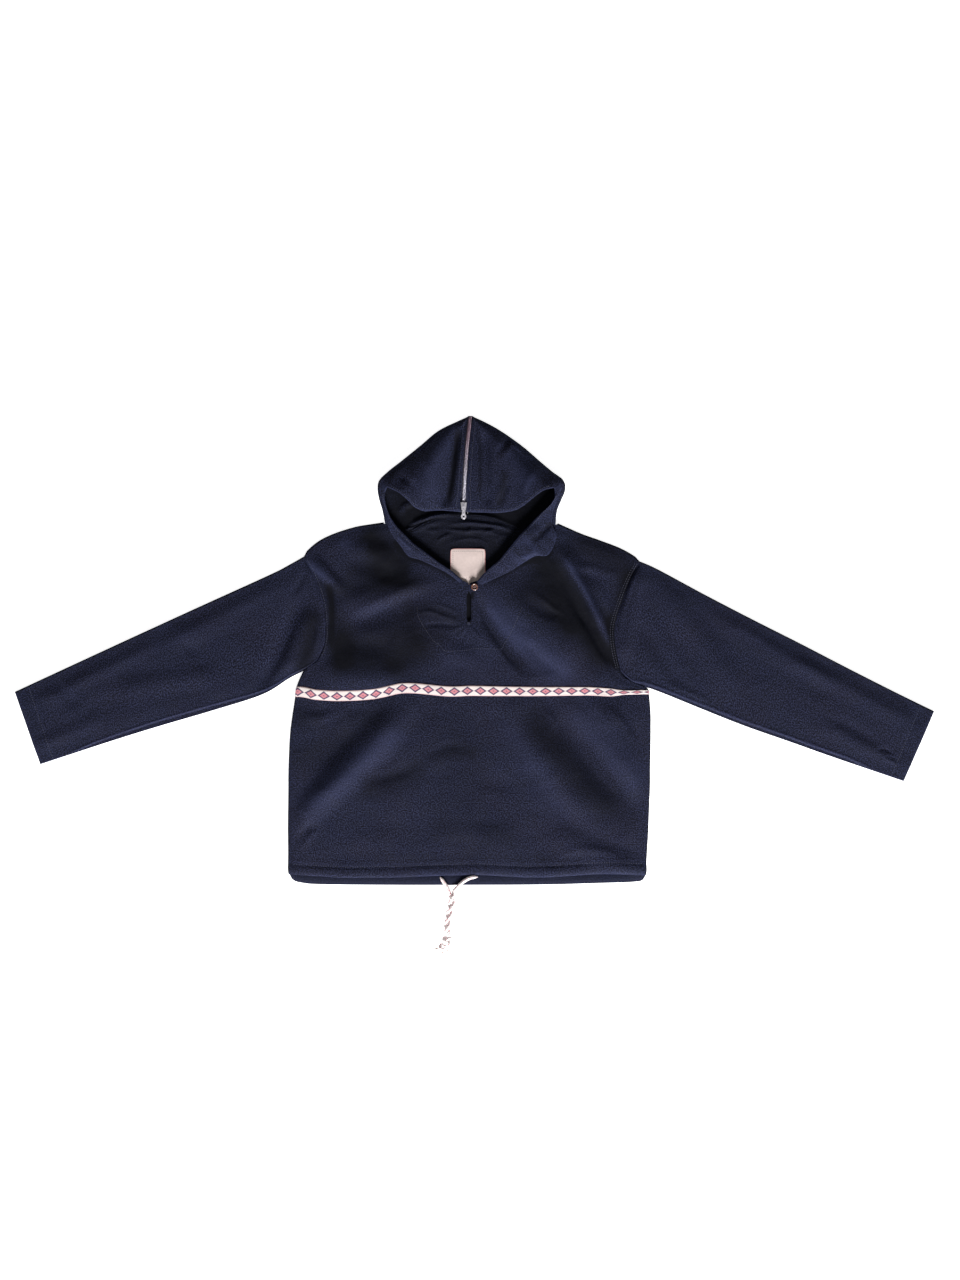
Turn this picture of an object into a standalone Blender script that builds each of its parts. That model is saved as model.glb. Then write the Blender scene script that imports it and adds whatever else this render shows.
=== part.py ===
"""Hooded pullover smock in navy cotton twill, laid flat on its back, face up.

Frame: X runs along the sleeves, Y from the hem (minus) to the hood (plus), Z up from the surface.
The origin is under the middle of the garment's box. Tables below are in millimetres, and every
object is built in metres. Left and right are as seen from above.
"""
import math
from collections import namedtuple

import bmesh
import bpy
from mathutils import Matrix, Vector
from mathutils.bvhtree import BVHTree

MM = 0.001

# ---------------------------------------------------------------- driving dimensions (mm)
CLOTH = 1.5             # wall of the twill with its seam allowances
SEAM_GAP = 0.3          # clear distance between pieces that are sewn together
LOFT = 5.6              # top of the front panel where it lies smooth on the back panel
LOWEST_FRONT = CLOTH + SEAM_GAP + CLOTH + 0.1   # top of the front panel pressed on the back panel
SLEEVE_ROLL = 2.1       # radius of the folded sleeve edges
SLEEVE_LOFT = 5.6
EDGE_RAMP = 32.0        # distance over which a panel rises from its side seam
EDGE_FOLD = 0.25        # share of a fold's height that reaches the side seam

SLIT_LOW, SLIT_HIGH, SLIT_WIDTH = 46.0, 93.0, 5.6   # front slit below the button
SLIT_TAPER = 3.0                                    # length of its pointed ends
SLIT_ROWS = (11.15, 12.89)                          # rows of the grid where the pointed ends begin
HALF_ROWS = (1.5, 2.5, 3.5, 4.5, 8.5, 9.5, 10.5, 15.5, 16.5)
TAPE_THICK = 0.9
TAPE_LOW_ROW, TAPE_HIGH_ROW = 6, 7                  # rows of BODY_ROWS along the trim band

ZIP_HALF_GAP = 4.5      # from the zip's centre line to the folded cloth beside it
SLIDER_HALF_GAP = 6.2   # the same beside the slider
ZIP_TAPE_HALF, ZIP_TAPE_THICK = 8.0, 0.7
CHAIN_HALF, CHAIN_THICK = 2.9, 2.0
ZIP_START, ZIP_END = 0.045, 0.90                    # shares of the centre line that the chain fills
SLIDER_SIZE = (10.0, 12.0, 3.6)
SLIDER_TAPER = 0.7
BRIDGE_WIDTH, BRIDGE_WALL = 1.9, 1.1
BRIDGE_HALF_LENGTH, BRIDGE_RISE = 3.1, 2.7
PULL_HALF_WIDTH, PULL_LENGTH, PULL_THICK = 4.3, 20.5, 1.2
PULL_FRAME_HALF, PULL_NECK_HALF, PULL_NECK_END = 3.3, 2.6, 11.5
PULL_WINDOW_HALF, PULL_WINDOW_LENGTH = 1.7, 4.4
PULL_BAR, PULL_HOLE_RADIUS = 0.7, 1.5

LABEL_SIZE, LABEL_CENTRE, LABEL_THICK = (56.0, 58.0), (-10.6, 134.0), 0.8
BUTTON_RADIUS, BUTTON_THICK, BUTTON_PLACE = 5.6, 2.6, (0.0, 101.5)

CORD_RADIUS = 2.75
TWIST_RADIUS, TWIST_TURNS, TWIST_STEPS = 2.95, 2.0, 30

# ---------------------------------------------------------------- tables (mm)
# One row for each line across the body, hem to neck: the left edge, the two sides of the centre
# (they part round the neck), the right edge, and the panel's top at its two edges.
BodyRow = namedtuple("BodyRow", "left_x left_y mid_left mid_right mid_y right_x right_y edge_z")
BODY_ROWS = [
    BodyRow(-296, -358, -9, -9, -359, 273, -360, 4.4),
    BodyRow(-297, -338, -9, -9, -341, 274, -340, 3.8),
    BodyRow(-297, -275, -9, -9, -275, 278, -270, 3.5),
    BodyRow(-297, -200, -9, -9, -200, 280, -200, 3.5),
    BodyRow(-295, -140, -9, -9, -140, 281, -140, 3.5),
    BodyRow(-290, -100, -9, -9, -100, 281, -100, 3.5),
    BodyRow(-286, -75, -9, -9, -73.5, 279, -73.5, 3.5),
    BodyRow(-284, -57, -9, -9, -55.5, 277, -59.5, 3.6),
    BodyRow(-270, -27, -9, -9, -27, 257, -52, 4.4),
    BodyRow(-252, -18, -9, -9, -8, 236, -41, 5.4),
    BodyRow(-241, 6, -9, -9, 16, 225, 4, 5.6),
    BodyRow(-238, 28, -9, -9, 46, 223, 36, 5.6),
    BodyRow(-240, 68, -9, -9, 66, 230, 62, 5.6),
    BodyRow(-248, 97, -9, -9, 93, 241, 93, 5.6),
    BodyRow(-254, 113, -9, -9, 108, 248, 110, 5.4),
    BodyRow(-261, 129, -18, 4, 111, 256, 126, 5.0),
    BodyRow(-275, 151, -40, 36, 125, 266, 143, 4.4),
    BodyRow(-252, 173, -62, 60, 141, 238, 161, 3.8),
    BodyRow(-226, 186, -88, 80, 156, 204, 174, 3.8),
    BodyRow(-190, 197.5, -112, 102, 175, 170, 186, 3.8),
    BodyRow(-145, 203.3, -134, 121, 199, 132.5, 202, 4.8),
]
ARMHOLE_ROWS = (9, 16)                              # rows at the underarm and the shoulder

# The back panel's hem and the seam that joins the hood to the back, left to right.
BACK_HEM = [(-297, -330), (-296, -356), (-290, -367), (-276, -371.5), (-244, -374), (-130, -375),
            (-20, -375), (105, -374.5), (200, -372), (255, -370), (270, -366), (274, -352), (275, -330)]
NECK_SEAM = [(-141, 203.4), (-122, 193), (-102, 194), (-79, 206), (-50, 216), (-12, 219.5),
             (24, 216), (58, 204), (84, 193), (106, 191), (127, 202)]

# How far the trim band and the hem wander from straight across the body.
Shift = namedtuple("Shift", "x dy")
TAPE_WANDER = [Shift(-290, 0), Shift(-258, -5), Shift(-225, -8), Shift(-190, -7), Shift(-155, -2),
               Shift(-119, 3.5), Shift(-60, 1.5), Shift(0, 0), Shift(100, 0), Shift(185, 1.5),
               Shift(225, -1), Shift(285, 0)]
HEM_WANDER = [Shift(-300, 0), Shift(-204, -5), Shift(-119, -4), Shift(-55, -1), Shift(9, 0.5),
              Shift(84, -3.5), Shift(120, -3), Shift(190, 2), Shift(233, 2.5), Shift(280, 0)]

# Folds of the cloth: a soft ridge (height over 0) or trough from one end to the other.
Fold = namedtuple("Fold", "x0 y0 x1 y1 width height")
FRONT_FOLDS = [
    Fold(140, 158, 190, 52, 24, 6.8),
    Fold(186, 60, 222, 0, 20, 5.4),
    Fold(142, 105, 205, 10, 24, -3.5),
    Fold(205, 12, 236, -34, 18, -3.2),
    Fold(10, 92, 60, 40, 34, 4.1),
    Fold(50, 50, 140, -34, 46, 5.7),
    Fold(-205, 142, -30, 84, 38, -3.0),
    Fold(-215, 100, -60, 60, 40, 3.5),
    Fold(-252, 140, -214, 96, 16, 4.9),
    Fold(-232, 30, -180, -30, 26, 4.3),
    Fold(-40, 30, 30, -20, 26, -2.2),
    Fold(-292, -282, -220, -212, 34, 7.0),
    Fold(-232, -222, -112, -96, 40, 8.1),
    Fold(-286, -206, -150, -104, 26, -3.2),
    Fold(-276, -262, -262, -288, 9, -2.7),
    Fold(-150, -180, -60, -130, 40, 3.0),
    Fold(52, -108, 135, -268, 48, 6.2),
    Fold(90, -110, 276, -306, 30, -3.5),
    Fold(205, -88, 272, -236, 36, 6.5),
    Fold(-60, -250, 60, -310, 50, 3.2),
    Fold(140, -300, 262, -352, 30, 4.6),
]
HEM_PUFF, HEM_HEIGHT = 1.4, 18.0                    # the casing, filled by the cord

LEFT_SLEEVE_FOLDS = [
    Fold(-344, -60, -284, 76, 22, -2.9),
    Fold(-300, -34, -262, 60, 18, 4.2),
    Fold(-330, 108, -480, 20, 30, 3.4),
    Fold(-420, -40, -560, -60, 26, 3.1),
    Fold(-520, 10, -690, -80, 24, 2.6),
    Fold(-600, -110, -690, -150, 20, 2.1),
]
RIGHT_SLEEVE_FOLDS = [
    Fold(262, 120, 240, -10, 18, 3.9),
    Fold(300, 92, 420, -60, 34, 3.6),
    Fold(268, 40, 330, -56, 20, -2.3),
    Fold(400, 50, 560, -50, 28, 2.9),
    Fold(520, -20, 690, -110, 24, 2.6),
    Fold(560, -120, 660, -176, 20, 2.3),
]

# Sleeve outlines from the body to the cuff.
LEFT_SLEEVE_TOP = [(-275, 151), (-296, 138), (-327, 122), (-439, 71), (-550, 20), (-660, -31), (-735, -66)]
LEFT_SLEEVE_LOW = [(-252, -18), (-271.5, -26), (-298, -44), (-340, -70), (-417, -95), (-505, -121), (-585, -146),
                   (-694, -182)]
RIGHT_SLEEVE_TOP = [(266, 143), (294, 130), (370, 89), (447, 49), (524, 10), (601, -30), (678, -69),
                    (735, -97)]
RIGHT_SLEEVE_LOW = [(236, -41), (257.5, -50.5), (276, -57.5), (305, -69), (366, -94), (434, -121), (505, -146),
                    (575, -171), (686, -209)]

# The hood's folded outline, apex to neck, with the radius of the fold.
HoodEdge = namedtuple("HoodEdge", "x y roll")
LEFT_HOOD_EDGE = [
    HoodEdge(-7.5, 375, 3.2), HoodEdge(-28, 366, 3.6), HoodEdge(-58, 351, 4.2), HoodEdge(-87, 327, 4.8),
    HoodEdge(-118, 302, 5.4), HoodEdge(-137, 287, 5.8), HoodEdge(-152, 272, 6.0),
    HoodEdge(-155, 257, 5.4), HoodEdge(-152, 240, 4.8), HoodEdge(-147, 223, 4.5),
    HoodEdge(-142.5, 204.5, 4.2),
]
RIGHT_HOOD_EDGE = [
    HoodEdge(-5.5, 375, 3.2), HoodEdge(15, 366, 3.6), HoodEdge(42, 351, 4.2), HoodEdge(76, 327, 5.0),
    HoodEdge(105, 302, 5.8), HoodEdge(124, 286, 6.4), HoodEdge(142, 272, 7.0),
    HoodEdge(145, 257, 6.4), HoodEdge(139, 241, 5.8), HoodEdge(132, 223, 5.2),
    HoodEdge(129.5, 204.5, 4.6),
]
CORNER_ROW = 6          # row of the two tables above where the face edge turns back
HOOD_CENTRE = [(-6.5, 375, 6.4), (-8.5, 357, 9.0), (-11.7, 327, 12.0), (-14.2, 295, 14.0),
               (-16.2, 263, 14.5), (-17.2, 237, 13.0), (-17.3, 221, 11.5)]
BACK_SEAM = [(-6.5, 375), (-9, 300), (-11, 219.8)]

# The crown's front edge, from the corner of the face opening to the zip.
LEFT_FACE_EDGE = [(-139, 260, 16), (-122, 252, 21.5), (-107, 240, 22.5), (-96, 229, 20), (-81, 222, 16),
                  (-64, 223, 13), (-46, 223, 11.5), (-22, 221, 11.5)]
RIGHT_FACE_EDGE = [(127, 259, 18), (111, 255, 23.5), (95, 244, 24.5), (79, 231, 22), (64, 223, 18.5),
                   (40, 219.5, 14), (14, 220, 12), (-12.5, 220.5, 11.5)]

# The turned-back face edge below the corner: its outer and inner edge down to the V's foot, and
# how high each lies over the front panel. The rows beside the hood's own edge give only the inner.
Turnback = namedtuple("Turnback", "outer_x outer_y outer_rise inner_x inner_y inner_rise")
LEFT_TURNBACK = [
    Turnback(None, None, None, -143, 249, 14.5), Turnback(None, None, None, -142, 235, 13),
    Turnback(None, None, None, -136, 217, 12), Turnback(None, None, None, -127, 202, 11),
    Turnback(-131, 184, 2.6, -113, 187, 5.0), Turnback(-118, 167, 2.4, -97, 171, 5.0),
    Turnback(-106, 151, 2.2, -82, 160, 4.6), Turnback(-88, 145, 2.2, -70, 151, 4.4),
    Turnback(-62, 133, 2.1, -54, 139, 4.0), Turnback(-40, 121, 2.1, -35, 126, 3.4),
    Turnback(-23, 108, 2.1, -19, 112, 3.0),
]
RIGHT_TURNBACK = [
    Turnback(None, None, None, 128, 246, 17), Turnback(None, None, None, 121, 233, 16),
    Turnback(None, None, None, 105, 218, 14.5), Turnback(None, None, None, 89, 202, 13),
    Turnback(131, 181, 2.6, 75, 187, 9.5), Turnback(118, 153, 2.6, 61, 170, 8.5),
    Turnback(98, 151, 2.4, 51, 158, 7.5), Turnback(80, 141, 2.4, 41, 146, 6.6),
    Turnback(56, 126, 2.2, 27, 134, 5.6), Turnback(31, 114, 2.1, 13, 121, 4.4),
    Turnback(11, 105, 2.1, 4, 110, 3.2),
]
CROWN_FOLDS = [
    Fold(-30, 352, -46, 232, 13, -4.0),
    Fold(-62, 330, -78, 240, 22, 4.0),
    Fold(-110, 284, -120, 262, 16, -2.5),
    Fold(14, 345, 22, 232, 12, -3.2),
    Fold(36, 335, 44, 236, 18, 3.6),
    Fold(66, 318, 74, 250, 16, -2.6),
    Fold(96, 300, 104, 268, 14, 2.4),
]

# Where the two strands run before they twist together, and the line of the twisted pair.
LEFT_STRAND = [(-54.9, -361.8, 4.9), (-50.6, -368, 4.9), (-47.3, -373, 4.9), (-44.6, -377.4, 4.9),
               (-42, -381.6, 5.3)]
RIGHT_STRAND = [(5, -361.9, 4.9), (-3, -362.4, 4.9), (-10.5, -364.9, 4.9), (-17.3, -369, 4.9),
                (-23.2, -373.8, 4.9), (-28.4, -379, 4.9), (-32.4, -383.2, 5.4)]
PAIR_LINE = [(-36.8, -388), (-36, -399), (-38, -410), (-41.5, -426), (-43.6, -440), (-43.8, -452.5)]
PAIR_HEIGHT = TWIST_RADIUS + CORD_RADIUS + 0.1
Lobe = namedtuple("Lobe", "x y z half_x half_y half_z")
KNOT_LOBES = [Lobe(-43.0, -464.2, 5.6, 9.6, 10.6, 5.5), Lobe(-50.5, -474.5, 4.6, 7.6, 7.0, 4.4)]
TAILS = [
    [(-58.0, -476.0, 3.0), (-60.9, -477.1, 2.6), (-64.0, -478.4, 2.4)],
    [(-51.4, -481.7, 3.0), (-51.2, -485.0, 2.6), (-50, -488.8, 2.4)],
    [(-44.9, -479.3, 3.0), (-42.4, -481.7, 2.6), (-39.9, -484.2, 2.4)],
]
TAIL_RADIUS = 2.0

# ---------------------------------------------------------------- grid sizes
BODY_COLUMNS, NECK_STEPS = 12, 20
SLEEVE_STATIONS, ROLL_STEPS = 24, 4
CROWN_COLUMNS, BAND_COLUMNS = 12, 3
ZIP_STEPS = 18

TWILL = ("navy_twill", (0.012, 0.014, 0.030), 0.85, 0.0)
TWILL_BACK = ("navy_twill_back", (0.013, 0.015, 0.031), 0.88, 0.0)
WOVEN_BAND = ("woven_band", (0.80, 0.72, 0.66), 0.80, 0.0)
LABEL_CLOTH = ("label_cloth", (0.78, 0.70, 0.62), 0.85, 0.0)
NICKEL = ("nickel", (0.66, 0.66, 0.68), 0.28, 1.0)
ZIP_CLOTH = ("zip_cloth", (0.015, 0.016, 0.030), 0.80, 0.0)
HORN = ("brown_horn", (0.20, 0.07, 0.025), 0.30, 0.0)
CORD_COTTON = ("cord_cotton", (0.82, 0.76, 0.72), 0.90, 0.0)


# ---------------------------------------------------------------- curves and blends
def smoothstep(t):
    """0 to 1 with level ends."""
    t = min(1.0, max(0.0, t))
    return t * t * (3.0 - 2.0 * t)


def mix(a, b, t):
    """Point or number between a and b."""
    if isinstance(a, (int, float)):
        return a + (b - a) * t
    return tuple(p + (q - p) * t for p, q in zip(a, b))


def through(rows, s):
    """Smooth curve through rows of numbers, read at row number s."""
    last = len(rows) - 1
    i = min(last - 1, max(0, int(math.floor(s))))
    t = s - i
    p0, p1, p2, p3 = (rows[min(last, max(0, i + k))] for k in (-1, 0, 1, 2))
    result = []
    for a, b, c, d in zip(p0, p1, p2, p3):
        slope_b, slope_c = (c - a) / 2.0, (d - b) / 2.0
        result.append((2 * t**3 - 3 * t**2 + 1) * b + (t**3 - 2 * t**2 + t) * slope_b
                      + (3 * t**2 - 2 * t**3) * c + (t**3 - t**2) * slope_c)
    return tuple(result)


class Route:
    """A smooth curve through a few points, read by its share of length."""

    def __init__(self, points, steps=12):
        count = (len(points) - 1) * steps
        self.dense = [through(points, i / steps) for i in range(count + 1)]
        self.lengths = [0.0]
        for a, b in zip(self.dense, self.dense[1:]):
            self.lengths.append(self.lengths[-1] + math.dist(a, b))

    def at(self, share):
        """Point at a share of the length, 0 to 1."""
        want = share * self.lengths[-1]
        for i in range(1, len(self.dense)):
            if self.lengths[i] >= want or i == len(self.dense) - 1:
                step = self.lengths[i] - self.lengths[i - 1]
                return mix(self.dense[i - 1], self.dense[i], (want - self.lengths[i - 1]) / step)
        return self.dense[-1]


def shift_at(table, x):
    """The dy of a table of shifts at x, smooth between its rows."""
    if x <= table[0].x:
        return table[0].dy
    for a, b in zip(table, table[1:]):
        if x <= b.x:
            return mix(a.dy, b.dy, smoothstep((x - a.x) / (b.x - a.x)))
    return table[-1].dy


def fold_height(folds, x, y):
    """Sum of the folds at a place: a rounded section that fades at both ends."""
    total = 0.0
    for f in folds:
        dx, dy = f.x1 - f.x0, f.y1 - f.y0
        length = math.hypot(dx, dy)
        along = ((x - f.x0) * dx + (y - f.y0) * dy) / length
        across = ((x - f.x0) * dy - (y - f.y0) * dx) / length
        if abs(across) < f.width and -f.width < along < length + f.width:
            section = 0.5 + 0.5 * math.cos(math.pi * across / f.width)
            fade = smoothstep((along + f.width) / (2 * f.width))
            fade *= smoothstep((length + f.width - along) / (2 * f.width))
            total += f.height * section * fade
    return total


def coons(side_a, side_b, end_0, end_1, u, v):
    """Point of the patch between four edges: side_a and side_b run along v, the ends along u."""
    a, b, c, d = side_a(v), side_b(v), end_0(u), end_1(u)
    p00, p10, p01, p11 = side_a(0), side_b(0), side_a(1), side_b(1)
    return tuple(
        (1 - u) * a[k] + u * b[k] + (1 - v) * c[k] + v * d[k]
        - ((1 - u) * (1 - v) * p00[k] + u * (1 - v) * p10[k] + (1 - u) * v * p01[k] + u * v * p11[k])
        for k in range(len(a)))


# ---------------------------------------------------------------- meshes
def new_collection(name):
    """A collection in the scene."""
    collection = bpy.data.collections.new(name)
    bpy.context.scene.collection.children.link(collection)
    return collection


def finish_of(finish):
    """The material of a finish: its name, colour, roughness and metallic value."""
    name, colour, roughness, metallic = finish
    material = bpy.data.materials.get(name)
    if material is None:
        material = bpy.data.materials.new(name)
        material.use_nodes = True
        shader = material.node_tree.nodes["Principled BSDF"]
        shader.inputs["Base Color"].default_value = (*colour, 1.0)
        shader.inputs["Roughness"].default_value = roughness
        shader.inputs["Metallic"].default_value = metallic
        material.diffuse_color = (*colour, 1.0)
    return material


def add_object(name, data, finish, collection):
    """A named object with its finish."""
    obj = bpy.data.objects.new(name, data)
    data.materials.clear()
    data.materials.append(finish_of(finish))
    collection.objects.link(obj)
    return obj


def add_patch(bm, columns, rows, place):
    """A grid of columns by rows quads whose points are place(u, v), in millimetres."""
    made = bmesh.ops.create_grid(bm, x_segments=columns, y_segments=rows, size=1.0)
    for vert in made["verts"]:
        u, v = (vert.co.x + 1.0) / 2.0, (vert.co.y + 1.0) / 2.0
        vert.co = Vector(place(min(1.0, max(0.0, u)), min(1.0, max(0.0, v)))) * MM


def finish_surface(bm, name):
    """Joins the patches of an open surface and turns its top face up."""
    bmesh.ops.remove_doubles(bm, verts=bm.verts, dist=0.02 * MM)
    bmesh.ops.dissolve_degenerate(bm, edges=bm.edges, dist=0.005 * MM)
    bmesh.ops.recalc_face_normals(bm, faces=bm.faces)
    top = max(bm.faces, key=lambda face: face.calc_center_median().z)
    if top.normal.z < 0:
        bmesh.ops.reverse_faces(bm, faces=bm.faces)
    mesh = bpy.data.meshes.new(name)
    bm.to_mesh(mesh)
    bm.free()
    return mesh


def add_wall(obj, thickness, offset=-1.0):
    """Gives an open surface its thickness, under its top face, or over it with offset 1."""
    wall = obj.modifiers.new("wall", "SOLIDIFY")
    wall.thickness = thickness * MM
    wall.offset = offset
    wall.use_even_offset = True
    wall.use_rim = True
    obj.data.shade_smooth()
    return obj


def evaluated_mesh(obj):
    """A mesh of the object as the viewport shows it."""
    graph = bpy.context.evaluated_depsgraph_get()
    return bpy.data.meshes.new_from_object(obj.evaluated_get(graph))


def top_of(obj):
    """A function that gives the height of the object's top at a place, or None beside it."""
    bpy.context.view_layer.update()
    mesh = evaluated_mesh(obj)
    tree = BVHTree.FromPolygons([v.co.copy() for v in mesh.vertices], [p.vertices[:] for p in mesh.polygons])
    bpy.data.meshes.remove(mesh)

    def height(x, y):
        hit = tree.ray_cast(Vector((x * MM, y * MM, 1.0)), Vector((0, 0, -1)))[0]
        return None if hit is None else hit.z / MM

    return height


# ---------------------------------------------------------------- body
def body_row(s):
    """The row of the body at row number s, straight between the table's rows."""
    i = min(len(BODY_ROWS) - 2, max(0, math.floor(s)))
    return BodyRow(*mix(BODY_ROWS[i], BODY_ROWS[i + 1], s - i))


def body_edge(side, s):
    """Point of the body's outline at row number s."""
    row = body_row(s)
    return (row.left_x, row.left_y) if side == "left" else (row.right_x, row.right_y)


def slit_half(y):
    """Half the slit's width at y."""
    if not SLIT_LOW < y < SLIT_HIGH:
        return 0.0
    end = min(y - SLIT_LOW, SLIT_HIGH - y)
    return SLIT_WIDTH / 2.0 * min(1.0, end / SLIT_TAPER)


def front_place(side, u, s):
    """Point of the front panel's top: u runs from the outer edge to the centre, s is the row."""
    row = body_row(s)
    outer = body_edge(side, s)
    middle = row.mid_left if side == "left" else row.mid_right
    if row.mid_y <= SLIT_HIGH:
        middle = BODY_ROWS[0].mid_left + (-1 if side == "left" else 1) * slit_half(row.mid_y)
    x, y = mix(outer, (middle, row.mid_y), u)
    inside = smoothstep(math.dist(outer, (x, y)) / EDGE_RAMP)
    near_tape = math.exp(-((s - (TAPE_LOW_ROW + TAPE_HIGH_ROW) / 2.0) / 1.2) ** 2)
    near_hem = max(0.0, 1.0 - s / 2.0)
    y += inside * (near_tape * shift_at(TAPE_WANDER, x) + near_hem * shift_at(HEM_WANDER, x))
    z = mix(row.edge_z, LOFT, inside) + mix(EDGE_FOLD, 1.0, inside) * fold_height(FRONT_FOLDS, x, y)
    above_hem = y - (BODY_ROWS[0].mid_y + shift_at(HEM_WANDER, x))
    z += HEM_PUFF * math.sin(math.pi * min(1.0, max(0.0, above_hem / HEM_HEIGHT)))
    return x, y, max(z, LOWEST_FRONT)


def body_stations():
    """Row numbers of the front panel's grid, with the table's own rows among them."""
    last = len(BODY_ROWS) - 1
    return sorted({float(i) for i in range(last + 1)} | set(HALF_ROWS) | set(SLIT_ROWS))


def build_front(collection):
    """The front panel: two halves joined down the centre, open at the V and the slit."""
    bm = bmesh.new()
    stations = body_stations()
    rows = len(stations) - 1
    for side in ("left", "right"):
        add_patch(bm, BODY_COLUMNS, rows,
                  lambda u, v, side=side: front_place(side, u, stations[round(v * rows)]))
    mesh = finish_surface(bm, "front_panel")
    return add_wall(add_object("front_panel", mesh, TWILL, collection), CLOTH)


def build_back(collection):
    """The back panel, a flat wall on the surface inside the front's side seams."""
    outline = [through(BACK_HEM, i / 2.0) for i in range(2 * (len(BACK_HEM) - 1) + 1)]
    side_rows = range(2, len(BODY_ROWS))
    outline += [body_edge("right", s) for s in side_rows]
    outline += [Route(NECK_SEAM).at(1.0 - i / NECK_STEPS) for i in range(NECK_STEPS + 1)]
    outline += [body_edge("left", s) for s in reversed(side_rows)]
    curve = bpy.data.curves.new("back_panel", "CURVE")
    curve.dimensions = "2D"
    curve.fill_mode = "BOTH"
    curve.extrude = CLOTH / 2.0 * MM
    spline = curve.splines.new("POLY")
    spline.points.add(len(outline) - 1)
    for point, (x, y) in zip(spline.points, outline):
        point.co = (x * MM, y * MM, 0.0, 1.0)
    spline.use_cyclic_u = True
    panel = add_object("back_panel", curve, TWILL_BACK, collection)
    panel.location.z = CLOTH / 2.0 * MM
    return panel


def build_trim(collection):
    """The woven band across the chest, made from the front panel's rows, moved out."""
    bm = bmesh.new()
    for side in ("left", "right"):
        def place(u, v, side=side):
            s = mix(float(TAPE_LOW_ROW), float(TAPE_HIGH_ROW), v)
            x, y, z = front_place(side, u, s)
            return x, y, z + SEAM_GAP
        add_patch(bm, BODY_COLUMNS, 1, place)
    mesh = finish_surface(bm, "trim_band")
    return add_wall(add_object("trim_band", mesh, WOVEN_BAND, collection), TAPE_THICK, offset=1.0)


# ---------------------------------------------------------------- sleeves
def build_sleeve(name, side, top_edge, low_edge, folds, collection):
    """A sleeve as a flattened tube, open at the armhole and the cuff, flat underneath."""
    out = -1 if side == "left" else 1
    clear = (3 * SEAM_GAP * out, 2 * SEAM_GAP)
    underarm, shoulder = ARMHOLE_ROWS
    columns = shoulder - underarm

    def seam(v):
        """The armhole, beside the body's own edge."""
        x, y = body_edge(side, mix(float(shoulder), float(underarm), v))
        return x + clear[0], y + clear[1]

    top, low = Route([seam(0)] + top_edge[1:]), Route([seam(1)] + low_edge[1:])

    def plan(u, v):
        """u from the armhole to the cuff, v from the upper to the lower edge."""
        return coons(top.at, low.at, seam, lambda w: mix(top.at(1), low.at(1), w), v, u)

    def ring(u):
        """One section: (across, height) pairs round the flattened tube."""
        width = math.dist(top.at(u), low.at(u))
        r = SLEEVE_ROLL / width
        flat = [r] + [i / columns for i in range(1, columns)] + [1 - r]
        quarter = [math.pi * (i / ROLL_STEPS - 0.5) for i in range(1, ROLL_STEPS)]
        section = [(v, "under", 0.0) for v in flat]
        section += [(1 - r + r * math.cos(a), "roll", SLEEVE_ROLL * (1 + math.sin(a))) for a in quarter]
        section += [(v, "top", 0.0) for v in reversed(flat)]
        section += [(r - r * math.cos(a), "roll", SLEEVE_ROLL * (1 + math.sin(a))) for a in reversed(quarter)]
        points = []
        for v, part, z in section:
            x, y = plan(u, v)
            if part == "top":
                from_edge = min(v, 1 - v) * width - SLEEVE_ROLL
                ramp = smoothstep(from_edge / EDGE_RAMP)
                z = mix(2 * SLEEVE_ROLL, SLEEVE_LOFT, ramp) + ramp * fold_height(folds, x, y)
                z = max(z, 2 * CLOTH + 2 * SEAM_GAP)
            points.append((x, y, z))
        return points

    rings = [ring(i / SLEEVE_STATIONS) for i in range(SLEEVE_STATIONS + 1)]
    around = len(rings[0])
    bm = bmesh.new()
    add_patch(bm, around, SLEEVE_STATIONS,
              lambda u, v: rings[round(v * SLEEVE_STATIONS)][round(u * around) % around])
    mesh = finish_surface(bm, name)
    return add_wall(add_object(name, mesh, TWILL, collection), CLOTH)


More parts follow.
